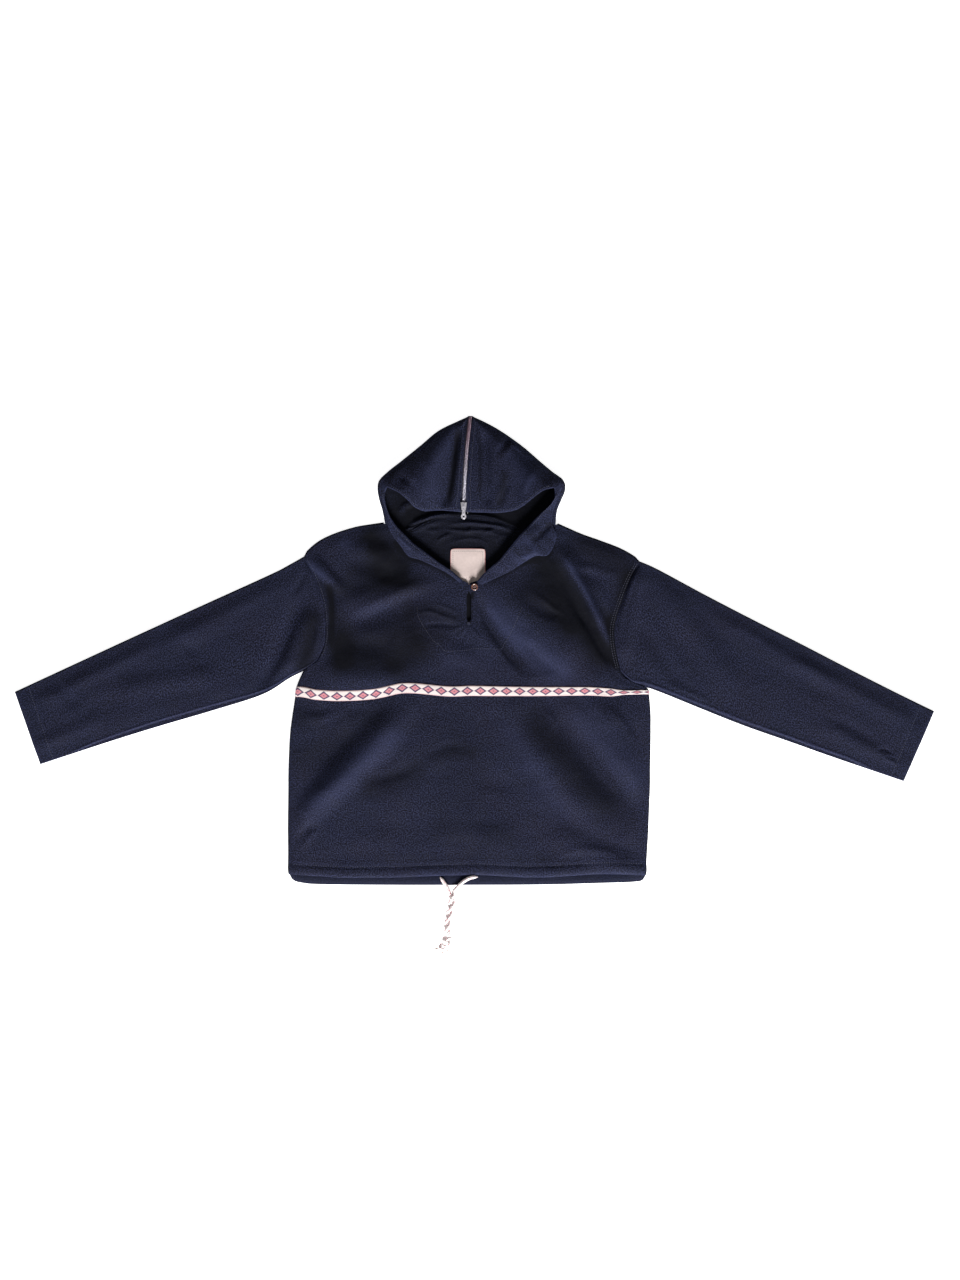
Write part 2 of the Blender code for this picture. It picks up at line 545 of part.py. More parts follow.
# ---------------------------------------------------------------- hood
class HoodHalf:
    """One cut piece of the hood: crown, folded edge, back and turned-back face edge."""

    def __init__(self, side, edge, face, turnback, front_top):
        self.out = -1 if side == "left" else 1
        self.edge, self.face, self.turnback, self.front_top = edge, face, turnback, front_top
        self.last = len(edge) - 1
        self.centre, self.back_seam = Route(HOOD_CENTRE), Route(BACK_SEAM)
        self.face_route = Route(face)
        seam = NECK_SEAM if side == "right" else NECK_SEAM[::-1]
        self.neck = Route(seam)

    def roll_point(self, row, angle):
        """Point on the folded edge at a row, angle from -90 degrees (under) to 90 (top)."""
        x, y, roll = through(self.edge, row)
        ahead, behind = through(self.edge, min(self.last, row + 0.1)), through(self.edge, max(0, row - 0.1))
        tangent = Vector((ahead[0] - behind[0], ahead[1] - behind[1])).normalized()
        inward = Vector((tangent.y, -tangent.x)) * self.out
        inward = inward.lerp(Vector((0, -1)), max(0.0, 1.0 - row)).normalized()
        back_off = roll * (1.0 - math.cos(angle))
        apex = max(0.0, 1.0 - row / 0.5)
        open_up = (ZIP_HALF_GAP - 1.0) * apex * (0.5 + 0.5 * math.sin(angle))
        return (x + inward.x * back_off + self.out * open_up, y + inward.y * back_off,
                roll * (1.0 + math.sin(angle)))

    def centre_edge(self, v):
        """The crown's edge beside the zip."""
        x, y, z = self.centre.at(v)
        near_apex = smoothstep(v / 0.04)
        half_gap = mix(ZIP_HALF_GAP, SLIDER_HALF_GAP, smoothstep((v - 0.74) / 0.14))
        return mix(self.roll_point(0, math.pi / 2), (x + self.out * half_gap, y, z), near_apex)

    def face_edge(self, u):
        """The crown's front edge, from the folded edge over the corner of the opening to the zip."""
        turn = BAND_COLUMNS / CROWN_COLUMNS
        if u <= turn:
            return mix(self.roll_point(CORNER_ROW, math.pi / 2), self.face_route.at(0), u / turn)
        point = self.face_route.at((u - turn) / (1 - turn))
        return mix(point, self.centre_edge(1.0), smoothstep((u - 0.9) / 0.1))

    def crown(self, u, v):
        """Point of the crown: u from the folded edge to the zip, v from the apex to the face."""
        x, y, z = coons(lambda w: self.roll_point(w * CORNER_ROW, math.pi / 2), self.centre_edge,
                        lambda w: self.roll_point(0, math.pi / 2), self.face_edge, u, v)
        fade = smoothstep(u / 0.25) * smoothstep((1 - u) / 0.15) * smoothstep(v / 0.3)
        return x, y, z + fade * fold_height(CROWN_FOLDS, x, y) * smoothstep((1.15 - v) / 0.3)

    def under(self, u, v):
        """Point of the back of the hood, flat on the surface, apex to neck seam."""
        def seam_side(w):
            x, y = self.back_seam.at(w)
            return x + self.out * SEAM_GAP / 2.0, y, 0.0

        def neck_side(w):
            start, end = self.roll_point(self.last, -math.pi / 2), seam_side(1.0)
            x, y = self.neck.at(1.0 - w * 0.5)
            level = (x, y + 4 * SEAM_GAP, 0.0)
            return mix(mix(start, level, smoothstep(w / 0.15)), end, smoothstep((w - 0.9) / 0.1))

        x, y, _ = coons(lambda w: self.roll_point(w * self.last, -math.pi / 2), seam_side,
                        lambda w: self.roll_point(0, -math.pi / 2), neck_side, u, v)
        return x, y, 0.0

    def band(self, u, row):
        """Point of the turned-back edge: u from its outer to its inner edge, row from the corner."""
        beside = self.last - CORNER_ROW
        table = self.turnback
        if row == 0:
            return self.face_edge(u * BAND_COLUMNS / CROWN_COLUMNS)
        t = table[row - 1]
        if row <= beside:
            outer = self.roll_point(CORNER_ROW + row, math.pi / 2)
            inner = (t.inner_x, t.inner_y, t.inner_rise)
            return mix(outer, inner, u)
        x, y = mix((t.outer_x, t.outer_y), (t.inner_x, t.inner_y), u)
        rise = mix(t.outer_rise, t.inner_rise, math.sin(math.pi / 2 * u))
        under = self.front_top(x, y)
        level = LOFT if under is None else under
        return x, y, level + rise

    def build(self, name, collection):
        """The piece as one wall."""
        bm = bmesh.new()
        add_patch(bm, ROLL_STEPS, self.last,
                  lambda u, v: self.roll_point(round(v * self.last), math.pi * (u - 0.5)))
        add_patch(bm, CROWN_COLUMNS, CORNER_ROW, self.crown)
        add_patch(bm, CROWN_COLUMNS, self.last, self.under)
        rows = len(self.turnback)
        add_patch(bm, BAND_COLUMNS, rows, lambda u, v: self.band(u, round(v * rows)))
        mesh = finish_surface(bm, name)
        return add_wall(add_object(name, mesh, TWILL, collection), CLOTH)


# ---------------------------------------------------------------- zip
def zip_strip(name, half_width, drop, thickness, shares, finish, collection):
    """A strip along the hood's centre line, its top a given drop below the cloth's top."""
    centre = Route(HOOD_CENTRE)
    start, end = shares
    bm = bmesh.new()

    def place(u, v):
        x, y, z = centre.at(mix(start, end, v))
        return x + mix(-half_width, half_width, u), y, z - drop

    add_patch(bm, 2, ZIP_STEPS, place)
    mesh = finish_surface(bm, name)
    return add_wall(add_object(name, mesh, finish, collection), thickness)


def flat_shape(name, outlines, thickness, turn, finish, collection):
    """A plate cut to flat outlines (the first outside, the rest holes), made a mesh and turned."""
    curve = bpy.data.curves.new(name, "CURVE")
    curve.dimensions = "2D"
    curve.fill_mode = "BOTH"
    curve.extrude = thickness / 2.0 * MM
    for outline in outlines:
        spline = curve.splines.new("POLY")
        spline.points.add(len(outline) - 1)
        for point, (x, y) in zip(spline.points, outline):
            point.co = (x * MM, y * MM, 0.0, 1.0)
        spline.use_cyclic_u = True
    source = bpy.data.objects.new(name + "_outline", curve)
    collection.objects.link(source)
    mesh = evaluated_mesh(source)
    bpy.data.objects.remove(source)
    bm = bmesh.new()
    bm.from_mesh(mesh)
    bmesh.ops.remove_doubles(bm, verts=bm.verts, dist=0.01 * MM)
    bmesh.ops.transform(bm, matrix=turn, verts=bm.verts)
    bm.to_mesh(mesh)
    bm.free()
    return add_object(name, mesh, finish, collection)


def arc(cx, cy, radius_x, radius_y, start_deg, end_deg, steps):
    """Points along an arc of an ellipse."""
    angles = [math.radians(mix(start_deg, end_deg, i / steps)) for i in range(steps + 1)]
    return [(cx + radius_x * math.cos(a), cy + radius_y * math.sin(a)) for a in angles]


def build_slider(collection, cutters):
    """The slider: a rounded body with a lengthwise bridge over the pull's bar. Gives the axis."""
    x, y, z = Route(HOOD_CENTRE).at(ZIP_END)
    width, length, height = SLIDER_SIZE
    floor = z - CLOTH - SEAM_GAP
    middle = (x, y - SEAM_GAP - length / 2.0, floor + height / 2.0)
    bm = bmesh.new()
    bmesh.ops.create_cube(bm, size=1.0)
    bmesh.ops.scale(bm, vec=Vector((width, length, height)) * MM, verts=bm.verts)
    for vert in bm.verts:
        if vert.co.y < 0:
            vert.co.x *= SLIDER_TAPER
    bmesh.ops.translate(bm, vec=Vector(middle) * MM, verts=bm.verts)
    mesh = bpy.data.meshes.new("zip_slider")
    bm.to_mesh(mesh)
    bm.free()
    slider = add_object("zip_slider", mesh, NICKEL, collection)
    bevel = slider.modifiers.new("rounded", "BEVEL")
    bevel.width, bevel.segments = 0.9 * MM, 2

    deck = floor + height
    axis = (x, middle[1] - 0.4, deck + PULL_BAR + 2 * SEAM_GAP)
    foot = -1.2 - PULL_BAR - 2 * SEAM_GAP
    outer = arc(0, 0, BRIDGE_HALF_LENGTH, BRIDGE_RISE, 0, 180, 10)
    outer += [(-BRIDGE_HALF_LENGTH, foot), (BRIDGE_HALF_LENGTH, foot)]
    hole_foot = -PULL_BAR - 2 * SEAM_GAP + 0.05
    hole = arc(0, 0, BRIDGE_HALF_LENGTH - BRIDGE_WALL, BRIDGE_RISE - BRIDGE_WALL, 0, 180, 8)
    hole += [(-BRIDGE_HALF_LENGTH + BRIDGE_WALL, hole_foot), (BRIDGE_HALF_LENGTH - BRIDGE_WALL, hole_foot)]
    to_side = (Matrix.Translation(Vector(axis) * MM) @ Matrix.Rotation(math.pi / 2, 4, "Z")
               @ Matrix.Rotation(math.pi / 2, 4, "X"))
    bridge = flat_shape("slider_bridge", [outer, hole], BRIDGE_WIDTH, to_side, NICKEL, cutters)
    bridge.hide_render = True
    bridge.display_type = "WIRE"
    union = slider.modifiers.new("bridge", "BOOLEAN")
    union.operation, union.object = "UNION", bridge
    return axis


def build_pull(axis, collection):
    """The pull tab, hinged on its bar under the slider's bridge, lying towards the hem."""
    bar, half, frame, neck = PULL_BAR, PULL_HALF_WIDTH, PULL_FRAME_HALF, PULL_NECK_HALF
    end_y = -PULL_LENGTH + half
    frame_end = -PULL_WINDOW_LENGTH - 2 * bar
    outline = [(-frame, bar), (frame, bar), (frame, frame_end), (neck, frame_end - bar),
               (neck, -PULL_NECK_END)]
    outline += arc(0, end_y, half, half, 40, -220, 16)
    outline += [(-neck, -PULL_NECK_END), (-neck, frame_end - bar), (-frame, frame_end)]
    window = [(-PULL_WINDOW_HALF, -bar), (PULL_WINDOW_HALF, -bar),
              (PULL_WINDOW_HALF, -bar - PULL_WINDOW_LENGTH), (-PULL_WINDOW_HALF, -bar - PULL_WINDOW_LENGTH)]
    eye = arc(0, end_y, PULL_HOLE_RADIUS, PULL_HOLE_RADIUS, 0, 330, 11)
    pull = flat_shape("zip_pull", [outline, window, eye], PULL_THICK, Matrix.Identity(4), NICKEL, collection)
    hinge = bpy.data.objects.new("pull_hinge", None)
    hinge.location = Vector(axis) * MM
    collection.objects.link(hinge)
    pull.parent = hinge
    return pull


# ---------------------------------------------------------------- small pieces
def build_label(collection):
    """The bare woven patch inside the back neck."""
    bm = bmesh.new()
    bmesh.ops.create_cube(bm, size=1.0)
    size = (*LABEL_SIZE, LABEL_THICK)
    middle = (*LABEL_CENTRE, CLOTH + SEAM_GAP + LABEL_THICK / 2.0)
    bmesh.ops.scale(bm, vec=Vector(size) * MM, verts=bm.verts)
    bmesh.ops.translate(bm, vec=Vector(middle) * MM, verts=bm.verts)
    mesh = bpy.data.meshes.new("neck_label")
    bm.to_mesh(mesh)
    bm.free()
    return add_object("neck_label", mesh, LABEL_CLOTH, collection)


def build_button(front_top, collection):
    """The shirt button at the foot of the V: a turned disc with a raised rim."""
    x, y = BUTTON_PLACE
    r, t = BUTTON_RADIUS, BUTTON_THICK
    around = arc(x, y, r, r, 0, 345, 23)
    rest = max(front_top(px, py) or 0.0 for px, py in around + [(x, y)]) + 2 * SEAM_GAP
    profile = [(0.0, 0.72 * t), (0.62 * r, 0.72 * t), (0.70 * r, t), (0.90 * r, t), (r, 0.75 * t),
               (r, 0.35 * t), (0.86 * r, 0.0), (0.0, 0.0)]
    bm = bmesh.new()
    verts = [bm.verts.new(Vector((a, 0.0, b)) * MM) for a, b in profile]
    edges = [bm.edges.new(pair) for pair in zip(verts, verts[1:])]
    bmesh.ops.spin(bm, geom=verts + edges, cent=(0, 0, 0), axis=(0, 0, 1), angle=2 * math.pi,
                   steps=24, use_merge=True)
    bmesh.ops.remove_doubles(bm, verts=bm.verts, dist=0.01 * MM)
    bmesh.ops.recalc_face_normals(bm, faces=bm.faces)
    bmesh.ops.translate(bm, vec=Vector((x, y, rest)) * MM, verts=bm.verts)
    mesh = bpy.data.meshes.new("neck_button")
    bm.to_mesh(mesh)
    bm.free()
    return add_object("neck_button", mesh, HORN, collection)


def add_tube(name, points, radius, finish, collection, sides=2):
    """A tube along points, with filled ends."""
    curve = bpy.data.curves.new(name, "CURVE")
    curve.dimensions = "3D"
    curve.bevel_depth = radius * MM
    curve.bevel_resolution = sides
    curve.use_fill_caps = True
    spline = curve.splines.new("POLY")
    spline.points.add(len(points) - 1)
    for point, co in zip(spline.points, points):
        point.co = (*(Vector(co) * MM), 1.0)
    return add_object(name, curve, finish, collection)


def strand_points(lead_in, phase_deg):
    """A strand: from the hem along its own points, then twisted round the pair's line."""
    pair = Route(PAIR_LINE)
    twisted = []
    for i in range(TWIST_STEPS + 1):
        share = i / TWIST_STEPS
        x, y = pair.at(share)
        angle = math.radians(phase_deg) + 2 * math.pi * TWIST_TURNS * share
        twisted.append((x + TWIST_RADIUS * math.cos(angle), y,
                        PAIR_HEIGHT + TWIST_RADIUS * math.sin(angle)))
    lead = Route(lead_in + twisted[:1])
    steps = max(4, round(lead.lengths[-1] / (2 * CORD_RADIUS)))
    return [lead.at(i / steps) for i in range(steps)] + twisted


def knot_lobe(name, lobe, collection):
    """One rounded lump of the knot."""
    bm = bmesh.new()
    bmesh.ops.create_uvsphere(bm, u_segments=16, v_segments=10, radius=1.0)
    bmesh.ops.scale(bm, vec=Vector((lobe.half_x, lobe.half_y, lobe.half_z)) * MM, verts=bm.verts)
    bmesh.ops.translate(bm, vec=Vector((lobe.x, lobe.y, lobe.z)) * MM, verts=bm.verts)
    mesh = bpy.data.meshes.new(name)
    bm.to_mesh(mesh)
    bm.free()
    return add_object(name, mesh, CORD_COTTON, collection)


def build_cord(collection, cutters):
    """The drawcord: two strands, the knot of two joined lumps, and its frayed ends."""
    add_tube("drawcord_left", strand_points(LEFT_STRAND, 180), CORD_RADIUS, CORD_COTTON, collection)
    add_tube("drawcord_right", strand_points(RIGHT_STRAND, 0), CORD_RADIUS, CORD_COTTON, collection)
    knot = knot_lobe("drawcord_knot", KNOT_LOBES[0], collection)
    second = knot_lobe("knot_second_lobe", KNOT_LOBES[1], cutters)
    second.hide_render = True
    second.display_type = "WIRE"
    union = knot.modifiers.new("second_lobe", "BOOLEAN")
    union.operation, union.object = "UNION", second
    for number, points in enumerate(TAILS, start=1):
        add_tube(f"drawcord_tail_{number}", points, TAIL_RADIUS, CORD_COTTON, collection)


def main():
    """Builds the garment from the surface up."""
    for obj in list(bpy.data.objects):
        bpy.data.objects.remove(obj, do_unlink=True)
    garment = new_collection("hooded_smock")
    cutters = new_collection("helpers")

    build_back(garment)
    front = build_front(garment)
    build_trim(garment)
    build_sleeve("sleeve_left", "left", LEFT_SLEEVE_TOP, LEFT_SLEEVE_LOW, LEFT_SLEEVE_FOLDS, garment)
    build_sleeve("sleeve_right", "right", RIGHT_SLEEVE_TOP, RIGHT_SLEEVE_LOW, RIGHT_SLEEVE_FOLDS, garment)
    front_top = top_of(front)
    HoodHalf("left", LEFT_HOOD_EDGE, LEFT_FACE_EDGE, LEFT_TURNBACK, front_top).build("hood_left", garment)
    HoodHalf("right", RIGHT_HOOD_EDGE, RIGHT_FACE_EDGE, RIGHT_TURNBACK, front_top).build(
        "hood_right", garment)
    tape_drop = CLOTH + 2 * SEAM_GAP
    chain_drop = tape_drop - SEAM_GAP - CHAIN_THICK
    zip_strip("zip_tape", ZIP_TAPE_HALF, tape_drop, ZIP_TAPE_THICK, (ZIP_START, 1.0), ZIP_CLOTH, garment)
    zip_strip("zip_chain", CHAIN_HALF, chain_drop, CHAIN_THICK, (ZIP_START, ZIP_END), NICKEL, garment)
    build_pull(build_slider(garment, cutters), garment)
    build_label(garment)
    build_button(front_top, garment)
    build_cord(garment, cutters)


main()
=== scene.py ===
"""Hooded pullover smock in navy cotton twill, laid flat on its back, dressed for its portrait.

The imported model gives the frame: X along the sleeves, Y from the hem to the hood, Z up from the
surface. Tables are in millimetres. Each cloth piece is a thin shell on its solid's own form, with the
creases, seams and stitches that the solid leaves out.
"""
import logging
import math
from dataclasses import dataclass, field
from enum import Enum
from functools import partial
from typing import Callable, NamedTuple, Sequence

import bmesh
import bpy
import numpy as np
from mathutils import Matrix, Vector
from mathutils.bvhtree import BVHTree


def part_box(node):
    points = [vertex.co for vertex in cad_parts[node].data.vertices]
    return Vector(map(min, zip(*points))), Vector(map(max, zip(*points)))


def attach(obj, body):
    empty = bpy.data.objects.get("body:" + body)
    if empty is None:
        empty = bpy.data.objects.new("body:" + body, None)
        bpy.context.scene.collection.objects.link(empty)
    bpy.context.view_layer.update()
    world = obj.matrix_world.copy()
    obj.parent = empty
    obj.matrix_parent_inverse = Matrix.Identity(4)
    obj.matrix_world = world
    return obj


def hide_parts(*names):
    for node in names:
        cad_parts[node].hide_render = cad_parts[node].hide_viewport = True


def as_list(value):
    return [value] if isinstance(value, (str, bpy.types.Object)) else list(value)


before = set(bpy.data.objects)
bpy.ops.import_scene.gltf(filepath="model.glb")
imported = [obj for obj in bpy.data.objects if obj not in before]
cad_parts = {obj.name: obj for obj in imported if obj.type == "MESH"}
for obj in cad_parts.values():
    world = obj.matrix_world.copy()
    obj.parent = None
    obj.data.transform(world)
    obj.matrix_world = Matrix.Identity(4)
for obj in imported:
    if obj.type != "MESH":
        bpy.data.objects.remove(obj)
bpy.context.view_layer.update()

MM = 0.001
QUARTER = math.pi / 2
LOG = logging.getLogger("smock")
Array = np.ndarray
Piece = bpy.types.Object
Mesh = bpy.types.Mesh
Material = bpy.types.Material
Socket = bpy.types.NodeSocket
BMesh = bmesh.types.BMesh
Place = Callable[[Array, Array], "Patch"]


class Side(Enum):
    """The two halves of the garment, as seen from above."""

    LEFT = -1
    RIGHT = 1


class Profile(Enum):
    """The section of a crease: rounded, or drawn up to a sharp line."""

    SOFT = "soft"
    SHARP = "sharp"


class Patch(NamedTuple):
    """Points in millimetres, their place on the flat cut in metres, and how much paler or darker the cloth is there:
    rubbed edges and painted light over 0, painted shade under 0.
    """

    points: Array
    cut: Array
    wear_and_painted_light: Array


class Crease(NamedTuple):
    """A crease along a smooth line: half its width, its height, its lean to one side, its section."""

    line: tuple
    width: float
    height: float
    lean: float = 0.0
    profile: Profile = Profile.SOFT


class Pucker(NamedTuple):
    """Small waves across a seam: how far they reach from it, their height, their pitch, their start."""

    line: tuple
    reach: float
    height: float
    pitch: float
    start: int


class Fold(NamedTuple):
    """A broad straight ridge or trough."""

    x0: float
    y0: float
    x1: float
    y1: float
    width: float
    height: float


# ---------------------------------------------------------------- the garment's own sizes
CLOTH = 1.5
SHELL = 0.9
SEAM_GAP = 0.3
LOFT = 5.6
SLEEVE_ROLL, SLEEVE_LOFT = 2.1, 5.6
EDGE_RAMP = 32.0
EDGE_FOLD = 0.25
ZIP_HALF_GAP, SLIDER_HALF_GAP = 4.5, 6.2
CORD_RADIUS = 2.75
TWIST_RADIUS, TWIST_TURNS = 2.95, 2.0

# left x, left y, centre left, centre right, centre y, right x, right y, height of the edge
BODY_ROWS = np.array([
    (-296, -358, -9, -9, -359, 273, -360, 4.4), (-297, -338, -9, -9, -341, 274, -340, 3.8),
    (-297, -275, -9, -9, -275, 278, -270, 3.5), (-297, -200, -9, -9, -200, 280, -200, 3.5),
    (-295, -140, -9, -9, -140, 281, -140, 3.5), (-290, -100, -9, -9, -100, 281, -100, 3.5),
    (-286, -75, -9, -9, -73.5, 279, -73.5, 3.5), (-284, -57, -9, -9, -55.5, 277, -59.5, 3.6),
    (-270, -27, -9, -9, -27, 257, -52, 4.4), (-252, -18, -9, -9, -8, 236, -41, 5.4),
    (-241, 6, -9, -9, 16, 225, 4, 5.6), (-238, 28, -9, -9, 46, 223, 36, 5.6),
    (-240, 68, -9, -9, 66, 230, 62, 5.6), (-248, 97, -9, -9, 93, 241, 93, 5.6),
    (-254, 113, -9, -9, 108, 248, 110, 5.4), (-261, 129, -18, 4, 111, 256, 126, 5.0),
    (-275, 151, -40, 36, 125, 266, 143, 4.4), (-252, 173, -62, 60, 141, 238, 161, 3.8),
    (-226, 186, -88, 80, 156, 204, 174, 3.8), (-190, 197.5, -112, 102, 175, 170, 186, 3.8),
    (-145, 203.3, -134, 121, 199, 132.5, 202, 4.8)], float)
TAPE_ROWS = (6, 7)
ARMHOLE_ROWS = (9, 16)
BACK_HEM = ((-297, -330), (-296, -356), (-290, -367), (-276, -371.5), (-244, -374), (-130, -375),
            (-20, -375), (105, -374.5), (200, -372), (255, -370), (270, -366), (274, -352), (275, -330))
NECK_SEAM = ((-141, 203.4), (-122, 193), (-102, 194), (-79, 206), (-50, 216), (-12, 219.5),
             (24, 216), (58, 204), (84, 193), (106, 191), (127, 202))
TAPE_WANDER = ((-290, 0), (-258, -5), (-225, -8), (-190, -7.5), (-157, -4.5), (-138, 0.5), (-117, 6),
               (-96, 5.5), (-74, 3), (-52, 0), (-32, -1.2), (-10, 0.4), (30, 0), (100, 0), (185, 1.5),
               (225, -1), (285, 0))
HEM_WANDER = ((-300, 0), (-204, -5), (-119, -4), (-55, -1), (9, 0.5), (84, -3.5), (120, -3),
              (190, 2), (233, 2.5), (280, 0))

FRONT_FOLDS = (
    Fold(144, 158, 194, 52, 22, 6.4), Fold(190, 60, 226, 0, 18, 5.0), Fold(150, 105, 213, 10, 24, -3.5),
    Fold(205, 12, 236, -34, 18, -3.2), Fold(-252, 140, -214, 96, 16, 4.9), Fold(-40, 30, 30, -20, 26, -1.6),
    Fold(-292, -282, -220, -212, 34, 7.0), Fold(-232, -222, -112, -96, 40, 8.1),
    Fold(-286, -206, -150, -104, 30, -1.6), Fold(-276, -262, -262, -288, 12, -1.2),
    Fold(-150, -180, -60, -130, 40, 2.2), Fold(205, -88, 272, -236, 36, 6.0),
    Fold(-60, -250, 60, -310, 50, 2.4), Fold(140, -300, 262, -352, 30, 3.6))
LEFT_SLEEVE_FOLDS = (
    Fold(-344, -60, -284, 76, 22, -2.9), Fold(-300, -34, -262, 60, 18, 4.2),
    Fold(-330, 108, -480, 20, 30, 3.4), Fold(-420, -40, -560, -60, 26, 3.1),
    Fold(-520, 10, -690, -80, 24, 2.6), Fold(-600, -110, -690, -150, 20, 2.1))
RIGHT_SLEEVE_FOLDS = (
    Fold(262, 120, 240, -10, 18, 3.9), Fold(300, 92, 420, -60, 34, 3.6),
    Fold(268, 40, 330, -56, 20, -2.3), Fold(400, 50, 560, -50, 28, 2.9),
    Fold(520, -20, 690, -110, 24, 2.6), Fold(560, -120, 660, -176, 20, 2.3))
LEFT_SLEEVE_TOP = ((-275, 151), (-296, 138), (-327, 122), (-439, 71), (-550, 20), (-660, -31), (-735, -66))
LEFT_SLEEVE_LOW = ((-252, -18), (-270, -29.5), (-298, -44.5), (-340, -70), (-417, -95), (-505, -121),
                   (-585, -146), (-694, -182))
RIGHT_SLEEVE_TOP = ((266, 143), (294, 130), (370, 89), (447, 49), (524, 10), (601, -30), (678, -69),
                    (735, -97))
RIGHT_SLEEVE_LOW = ((236, -41), (256, -54), (276, -58.5), (305, -69), (366, -94), (434, -121),
                    (505, -146), (575, -171), (686, -209))
# x, y and the radius of the fold, apex to neck
LEFT_HOOD_EDGE = ((-7.5, 375, 3.2), (-28, 366, 3.6), (-58, 351, 4.2), (-87, 327, 4.8), (-118, 302, 5.4),
                  (-137, 287, 5.8), (-152, 272, 6.0), (-155, 257, 5.4), (-152, 240, 4.8),
                  (-147, 223, 4.5), (-142.5, 200.5, 4.2))
RIGHT_HOOD_EDGE = ((-5.5, 375, 3.2), (15, 366, 3.6), (42, 351, 4.2), (76, 327, 5.0), (105, 302, 5.8),
                   (124, 286, 6.4), (142, 272, 7.0), (145, 257, 6.4), (139, 241, 5.8),
                   (132, 223, 5.2), (129.5, 200.0, 4.6))
HOOD_CENTRE = ((-6.5, 375, 6.4), (-8.5, 357, 9.0), (-11.7, 327, 12.0), (-14.2, 295, 14.0),
               (-16.2, 263, 14.5), (-17.2, 237, 13.0), (-17.3, 221, 11.5))
BACK_SEAM = ((-6.5, 375), (-9, 300), (-11, 216.2))
LEFT_FACE_EDGE = ((-139, 260, 16), (-122, 252, 21.5), (-107, 240, 22.5), (-96, 229, 20), (-81, 222, 16),
                  (-64, 223, 13), (-46, 223, 11.5), (-22, 221, 11.5))
RIGHT_FACE_EDGE = ((127, 259, 18), (111, 255, 23.5), (95, 244, 24.5), (79, 231, 22), (64, 223, 18.5),
                   (40, 219.5, 14), (14, 220, 12), (-12.5, 220.5, 11.5))
# outer x, y, rise and inner x, y, rise; the first four rows give only the inner edge
LEFT_TURNBACK = (
    (0, 0, 0, -143, 249, 14.5), (0, 0, 0, -142, 235, 13), (0, 0, 0, -136, 217, 12),
    (0, 0, 0, -127, 202, 11), (-131, 184, 2.6, -113, 187, 5.0), (-118, 167, 2.4, -97, 171, 5.0),
    (-106, 151, 2.2, -82, 160, 4.6), (-88, 145, 2.2, -70, 151, 4.4), (-62, 133, 2.1, -54, 139, 4.0),
    (-40, 121, 2.1, -35, 126, 3.4), (-23, 108, 2.1, -19, 112, 3.0))
RIGHT_TURNBACK = (
    (0, 0, 0, 128, 246, 17), (0, 0, 0, 121, 233, 16), (0, 0, 0, 105, 218, 14.5),
    (0, 0, 0, 89, 202, 13), (131, 181, 2.6, 75, 187, 9.5), (118, 153, 2.6, 61, 170, 8.5),
    (98, 151, 2.4, 51, 158, 7.5), (80, 141, 2.4, 41, 146, 6.6), (56, 126, 2.2, 27, 134, 5.6),
    (31, 114, 2.1, 13, 121, 4.4), (11, 105, 2.1, 4, 110, 3.2))
CROWN_FOLDS = (
    Fold(-30, 352, -46, 232, 13, -4.0), Fold(-62, 330, -78, 240, 22, 4.0),
    Fold(-110, 284, -120, 262, 16, -2.5), Fold(14, 345, 22, 232, 12, -3.2),
    Fold(36, 335, 44, 236, 18, 3.6), Fold(66, 318, 74, 250, 16, -2.6), Fold(96, 300, 104, 268, 14, 2.4))
LEFT_STRAND = ((-54.9, -361.8, 4.9), (-50.6, -368, 4.9), (-47.3, -373, 4.9), (-44.6, -377.4, 4.9),
               (-42, -381.6, 5.3))
RIGHT_STRAND = ((5, -361.9, 4.9), (-3, -362.4, 4.9), (-10.5, -364.9, 4.9), (-17.3, -369, 4.9),
                (-23.2, -373.8, 4.9), (-28.4, -379, 4.9), (-32.4, -383.2, 5.4))
PAIR_LINE = ((-36.8, -388), (-36, -399), (-38, -410), (-41.5, -426), (-43.6, -440), (-43.8, -452.5))
TAILS = (
    ((-58.0, -476.0, 3.0), (-60.9, -477.1, 2.6), (-64.0, -478.4, 2.4)),
    ((-51.4, -481.7, 3.0), (-51.2, -485.0, 2.6), (-50, -488.8, 2.4)),
    ((-44.9, -479.3, 3.0), (-42.4, -481.7, 2.6), (-39.9, -484.2, 2.4)))

# ---------------------------------------------------------------- creases placed one by one
S = Profile.SHARP


def creases(*rows: tuple) -> tuple[Crease, ...]:
    """Creases from rows: S where it is sharp, half width, height, lean, then x and y of each point."""
    made = []
    for row in rows:
        profile = S if row[0] is S else Profile.SOFT
        width, height, lean, *flat = row[1:] if row[0] is S else row
        made.append(Crease(tuple(zip(flat[::2], flat[1::2])), width, height, lean, profile))
    return tuple(made)


